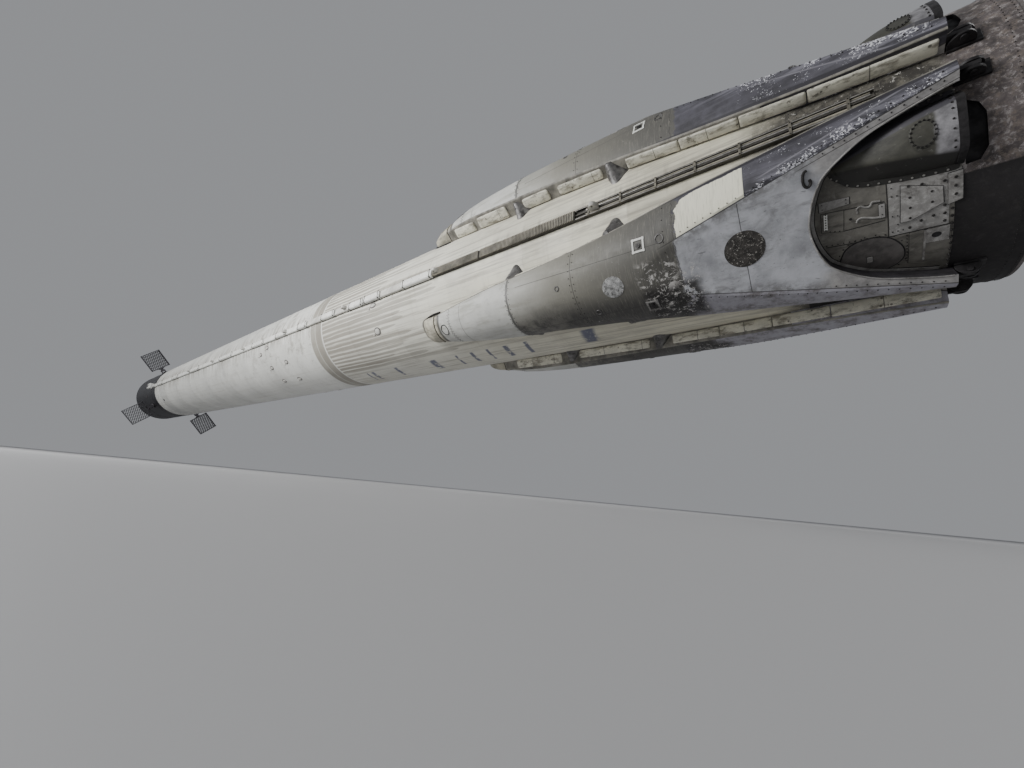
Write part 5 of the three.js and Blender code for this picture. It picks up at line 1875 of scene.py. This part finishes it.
def engine():
    """The bell with its bands and hoops, the chamber, pipes, pump and grooved head."""
    outside = [(s, bell_radius(s)) for s in (THROAT + (EXIT - THROAT) * (k / 30) ** 1.5 for k in range(31))]
    edge = outside[-1][1]
    profile = [(THROAT + 0.004, 0), *((s, r - BELL_WALL) for s, r in outside), (EXIT, edge + 0.004),
        (EXIT + 0.014, edge + 0.004), (EXIT + 0.016, edge + 0.0008), *outside[-2::-1], (THROAT + 0.02, 0.06),
        (-0.135, 0.074), (-0.11, 0.08), (0.045, 0.08), (0.046, 0.088), (0.066, 0.088), (0.067, 0.078),
        (0.082, 0.074), (0.14, 0.049), (0.14, 0)]
    shape = Shape().turned(profile, 56)
    inner = [x < THROAT + 0.005 and math.hypot(y, z) < bell_radius(min(x, THROAT - 1e-4)) - 0.004
             for x, y, z in shape.points]
    shape.paints = [2 if all(inner[i] for i in face) else 0 for face in shape.faces]
    for station in (-0.3, -0.42, -0.56, -0.72, -0.86):
        low, high = bell_radius(station) - 0.003, bell_radius(station) + 0.0035
        aft, front = station - 0.006, station + 0.006
        shape.turned([(aft, low), (aft, high), (front, high), (front, low)], 56, 1)
    for station, radius, tube in ((-0.245, 0.106, 0.012), (-0.02, 0.086, 0.009)):
        shape.turned(oval((station, radius), tube, tube, 12), 48, 1)
    for path, radius in ENGINE_PIPES:
        shape.bar(rounded_path(path), radius, 10, 1)
    pump = Shape().turned([(0.085, 0), (0.085, 0.02), (0.07, 0.026), (0.02, 0.026), (0.01, 0.02),
        (-0.03, 0.018), (-0.035, 0.024), (-0.075, 0.024), (-0.08, 0.012), (-0.08, 0)], 20, 1)
    shape.join(pump, lambda p: (p[0], p[1] - 0.062, p[2] - 0.05))
    half = [(0.122, -0.034), (0.146, -0.034), (0.248, -0.034)]
    return shape.prism(half + groove(YAW_AXIS, -1) + [(x, -y) for x, y in half[::-1]], -0.04, 0.04, 1)


def gimbal():
    """Two crossed barrels on their pins."""
    barrel = Shape().turned(both_ways([(-0.045, 0), (-0.045, 0.021), (-0.041, BARREL)]), 32)
    barrel.turned(both_ways([(-0.0455, 0), (-0.0455, 0.01)]), 16, 1)
    shape = Shape().join(barrel, lambda p: (PITCH_AXIS + p[1], p[0], p[2]))
    shape.join(barrel, lambda p: (YAW_AXIS + p[1], p[2], p[0]))
    return shape.box((YAW_AXIS, -0.015, -0.015), (PITCH_AXIS, 0.015, 0.015))


def thrust_frame(centres):
    """A flanged disc with a grooved block and a foot for every engine."""
    aft, front, radius, low = FRAME_AFT, FRAME_FRONT, HULL - 0.0303, PITCH_AXIS + 0.002
    shape = Shape().turned([(aft, 0), (aft, radius), (aft + 0.012, radius), (aft + 0.012, radius - 0.02),
        (front - 0.012, radius - 0.02), (front - 0.012, radius), (front, radius), (front, 0)], 96)
    block = Shape().prism([(low, -0.034), *groove(PITCH_AXIS, 1), (low, 0.034), (aft + 0.002, 0.034),
        (aft + 0.002, -0.034)], -0.04, 0.04)
    foot = [(aft - 0.012, 0), (aft - 0.012, 0.075), (aft + 0.001, 0.082), (aft + 0.001, 0)]
    for y, z in centres:
        shape.join(block, lambda p: (p[0], y + p[2], z + p[1]))
        shape.turned(foot, 24, 0, (y, z))
    return shape.moved(lambda p: (FEET + p[0], p[1], p[2]))


class BOOSTER_OT_engines(bpy.types.Operator):
    """Nine engines on their gimbals, the heat shield and the thrust frame"""

    bl_idname = "booster.engines"
    bl_label = "Engines"

    def execute(self, context):
        bell = make_mesh(engine(), [nozzle_paint, "soot_metal", "nozzle_inside", "bolt_dark"], 30)
        block = make_mesh(gimbal(), ["soot_metal", "bolt_dark"])
        centres = []
        for number in range(1, 10):
            low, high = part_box(f"gimbal_block_{number}")
            centres.append(((low.y + high.y) / 2, (low.z + high.z) / 2))
            matrix, swung = Matrix.Translation((FEET, *centres[-1])), f"engine_{number}"
            show(f"engine_body_{number}", place(bell, matrix), swung, "nozzle_metal", swung)
            show(f"gimbal_barrels_{number}", place(block, matrix), f"gimbal_block_{number}", "fitting_grey",
                f"gimbal_{number}")
        build("thrust_structure", thrust_frame(centres), ["soot_metal"], "thrust_frame", "fitting_grey")
        beams = [((FEET + FRAME_AFT - 0.02, 0.49 * y, 0.49 * z), (-1, 0, 0), (0, y, z)) for y, z in circle(8)]
        show_blocks("thrust_beams", beams, (0.7, 0.02, 0.045), "soot_metal")
        self.heat_shield(centres)
        return {"FINISHED"}

    def heat_shield(self, centres):
        front = FEET + SECTION_AFT - 0.0003
        aft, radius = front - 0.026, HULL - 0.006
        disc = Shape().turned([(front, 0), (front, radius), (aft + 0.004, radius), (aft, radius - 0.006),
            (aft, 0)])
        holes, rings, bolts = Shape(), Shape(), []
        collar = [(aft + 0.001, HOLE + 0.0005), (aft - 0.006, HOLE + 0.0005), (aft - 0.006, HOLE + 0.017),
            (aft + 0.001, HOLE + 0.018)]
        bore = [(aft - 0.1, 0), (aft - 0.1, HOLE), (front + 0.1, HOLE), (front + 0.1, 0)]
        for y, z in centres:
            holes.turned(bore, 64, 0, (y, z))
            rings.turned(collar, 64, 0, (y, z))
            bolts += [(aft - 0.006, y + b, z + c) for b, c in circle(30, HOLE + 0.009)]
        bolts += [(aft, y, z) for y, z in circle(64, radius - 0.016)]
        paints = ["shield_paint", "soot_metal"]
        mesh = carve(make_mesh(disc, paints), make_mesh(holes, paints))
        show("heat_shield_plate", soften(mesh), "heat_shield", "shield_dark")
        build("heat_shield_rings", rings, ["soot_metal"])
        show_heads("heat_shield_bolts", [(point, (-1, 0, 0), (0, 0, 1)) for point in bolts], 0.0045)


# Stage


def camera_turn():
    """The camera's right, up and back directions, from its yaw, pitch and roll about the hull."""
    base = Matrix(((-1, 0, 0), (0, 0, -1), (0, -1, 0)))
    yaw = Matrix.Rotation(CAMERA_YAW, 3, "Z").transposed()
    pitch = Matrix.Rotation(-CAMERA_PITCH, 3, "X")
    roll = Matrix.Rotation(-CAMERA_ROLL, 3, "Z")
    rows = roll @ pitch @ base @ yaw
    right, down, ahead = (Matrix.Rotation(-HULL_ROLL, 3, "X") @ rows[i] for i in range(3))
    return Matrix((right, -down, -ahead)).transposed()


class BOOSTER_OT_stage(bpy.types.Operator):
    """Floor, soft lights and the camera"""

    bl_idname = "booster.stage"
    bl_label = "Stage"

    FLOOR = -2.66
    # Soft lights. Columns: place, target, width, height, watts
    LIGHTS = (
        ((-2, 7.5, 1.6), (-5, 0, -0.2), 5, 2.5, 720),
        ((7, 9, 3), (5, 0, 0), 12, 4, 800),
        ((-13, -1, 4.5), (-8.5, 0, 0), 4, 3, 260),
        ((0, -9, 6), (0, 0, 0), 14, 5, 520),
    )

    def execute(self, context):
        scene = context.scene
        camera = link("photo_camera", bpy.data.cameras.new("photo_camera"))
        camera.data.lens, camera.data.sensor_width, camera.data.sensor_fit = LENS, 36, "HORIZONTAL"
        camera.data.clip_start, camera.data.clip_end = 0.02, 400
        camera.matrix_world = Matrix.Translation(CAMERA_AT) @ camera_turn().to_4x4()
        scene.camera = camera

        floor = Shape().box((-150, -150, self.FLOOR - 0.2), (150, 150, self.FLOOR))
        ground = link("floor", make_mesh(floor, ["floor_paint"]))
        for number, (at, target, width, height, watts) in enumerate(self.LIGHTS):
            light = bpy.data.lights.new(f"soft_light_{number}", "AREA")
            light.shape, light.size, light.size_y, light.energy = "RECTANGLE", width, height, watts
            lamp = link(light.name, light)
            aim = (Vector(target) - Vector(at)).to_track_quat("-Z", "Y")
            lamp.matrix_world = Matrix.Translation(at) @ aim.to_matrix().to_4x4()
            lamp.visible_camera = False
        world = bpy.data.worlds.new("studio")
        world.use_nodes = True
        sky = world.node_tree.nodes["Background"]
        sky.inputs["Color"].default_value = (0.86, 0.88, 0.92, 1)
        sky.inputs["Strength"].default_value = 0.34
        scene.world = world
        return {"FINISHED"}


class BOOSTER_PT_panel(bpy.types.Panel):
    """Lists the pieces that can be built"""

    bl_label = "Booster Stage"
    bl_space_type = "VIEW_3D"
    bl_region_type = "UI"
    bl_category = "Booster"

    def draw(self, context):
        for group in (context.scene.booster_sizes, context.scene.booster_colours):
            for name in group.__annotations__:
                self.layout.prop(group, name)
        for operator in OPERATORS:
            self.layout.operator(operator.bl_idname)


OPERATORS = (BOOSTER_OT_stage, BOOSTER_OT_tanks, BOOSTER_OT_engine_section, BOOSTER_OT_legs,
    BOOSTER_OT_openings, BOOSTER_OT_blisters, BOOSTER_OT_leg_ends, BOOSTER_OT_raceways, BOOSTER_OT_front,
    BOOSTER_OT_fins, BOOSTER_OT_engines)
CLASSES = (BoosterSizes, BoosterColours, *OPERATORS, BOOSTER_PT_panel)


def register():
    for cls in CLASSES:
        bpy.utils.register_class(cls)
    bpy.types.Scene.booster_sizes = PointerProperty(type=BoosterSizes)
    bpy.types.Scene.booster_colours = PointerProperty(type=BoosterColours)


def unregister():
    del bpy.types.Scene.booster_colours
    del bpy.types.Scene.booster_sizes
    for cls in reversed(CLASSES):
        bpy.utils.unregister_class(cls)


def main():
    register()
    for operator in OPERATORS:
        group, name = operator.bl_idname.split(".")
        getattr(getattr(bpy.ops, group), name)()


if __name__ == "__main__":
    main()
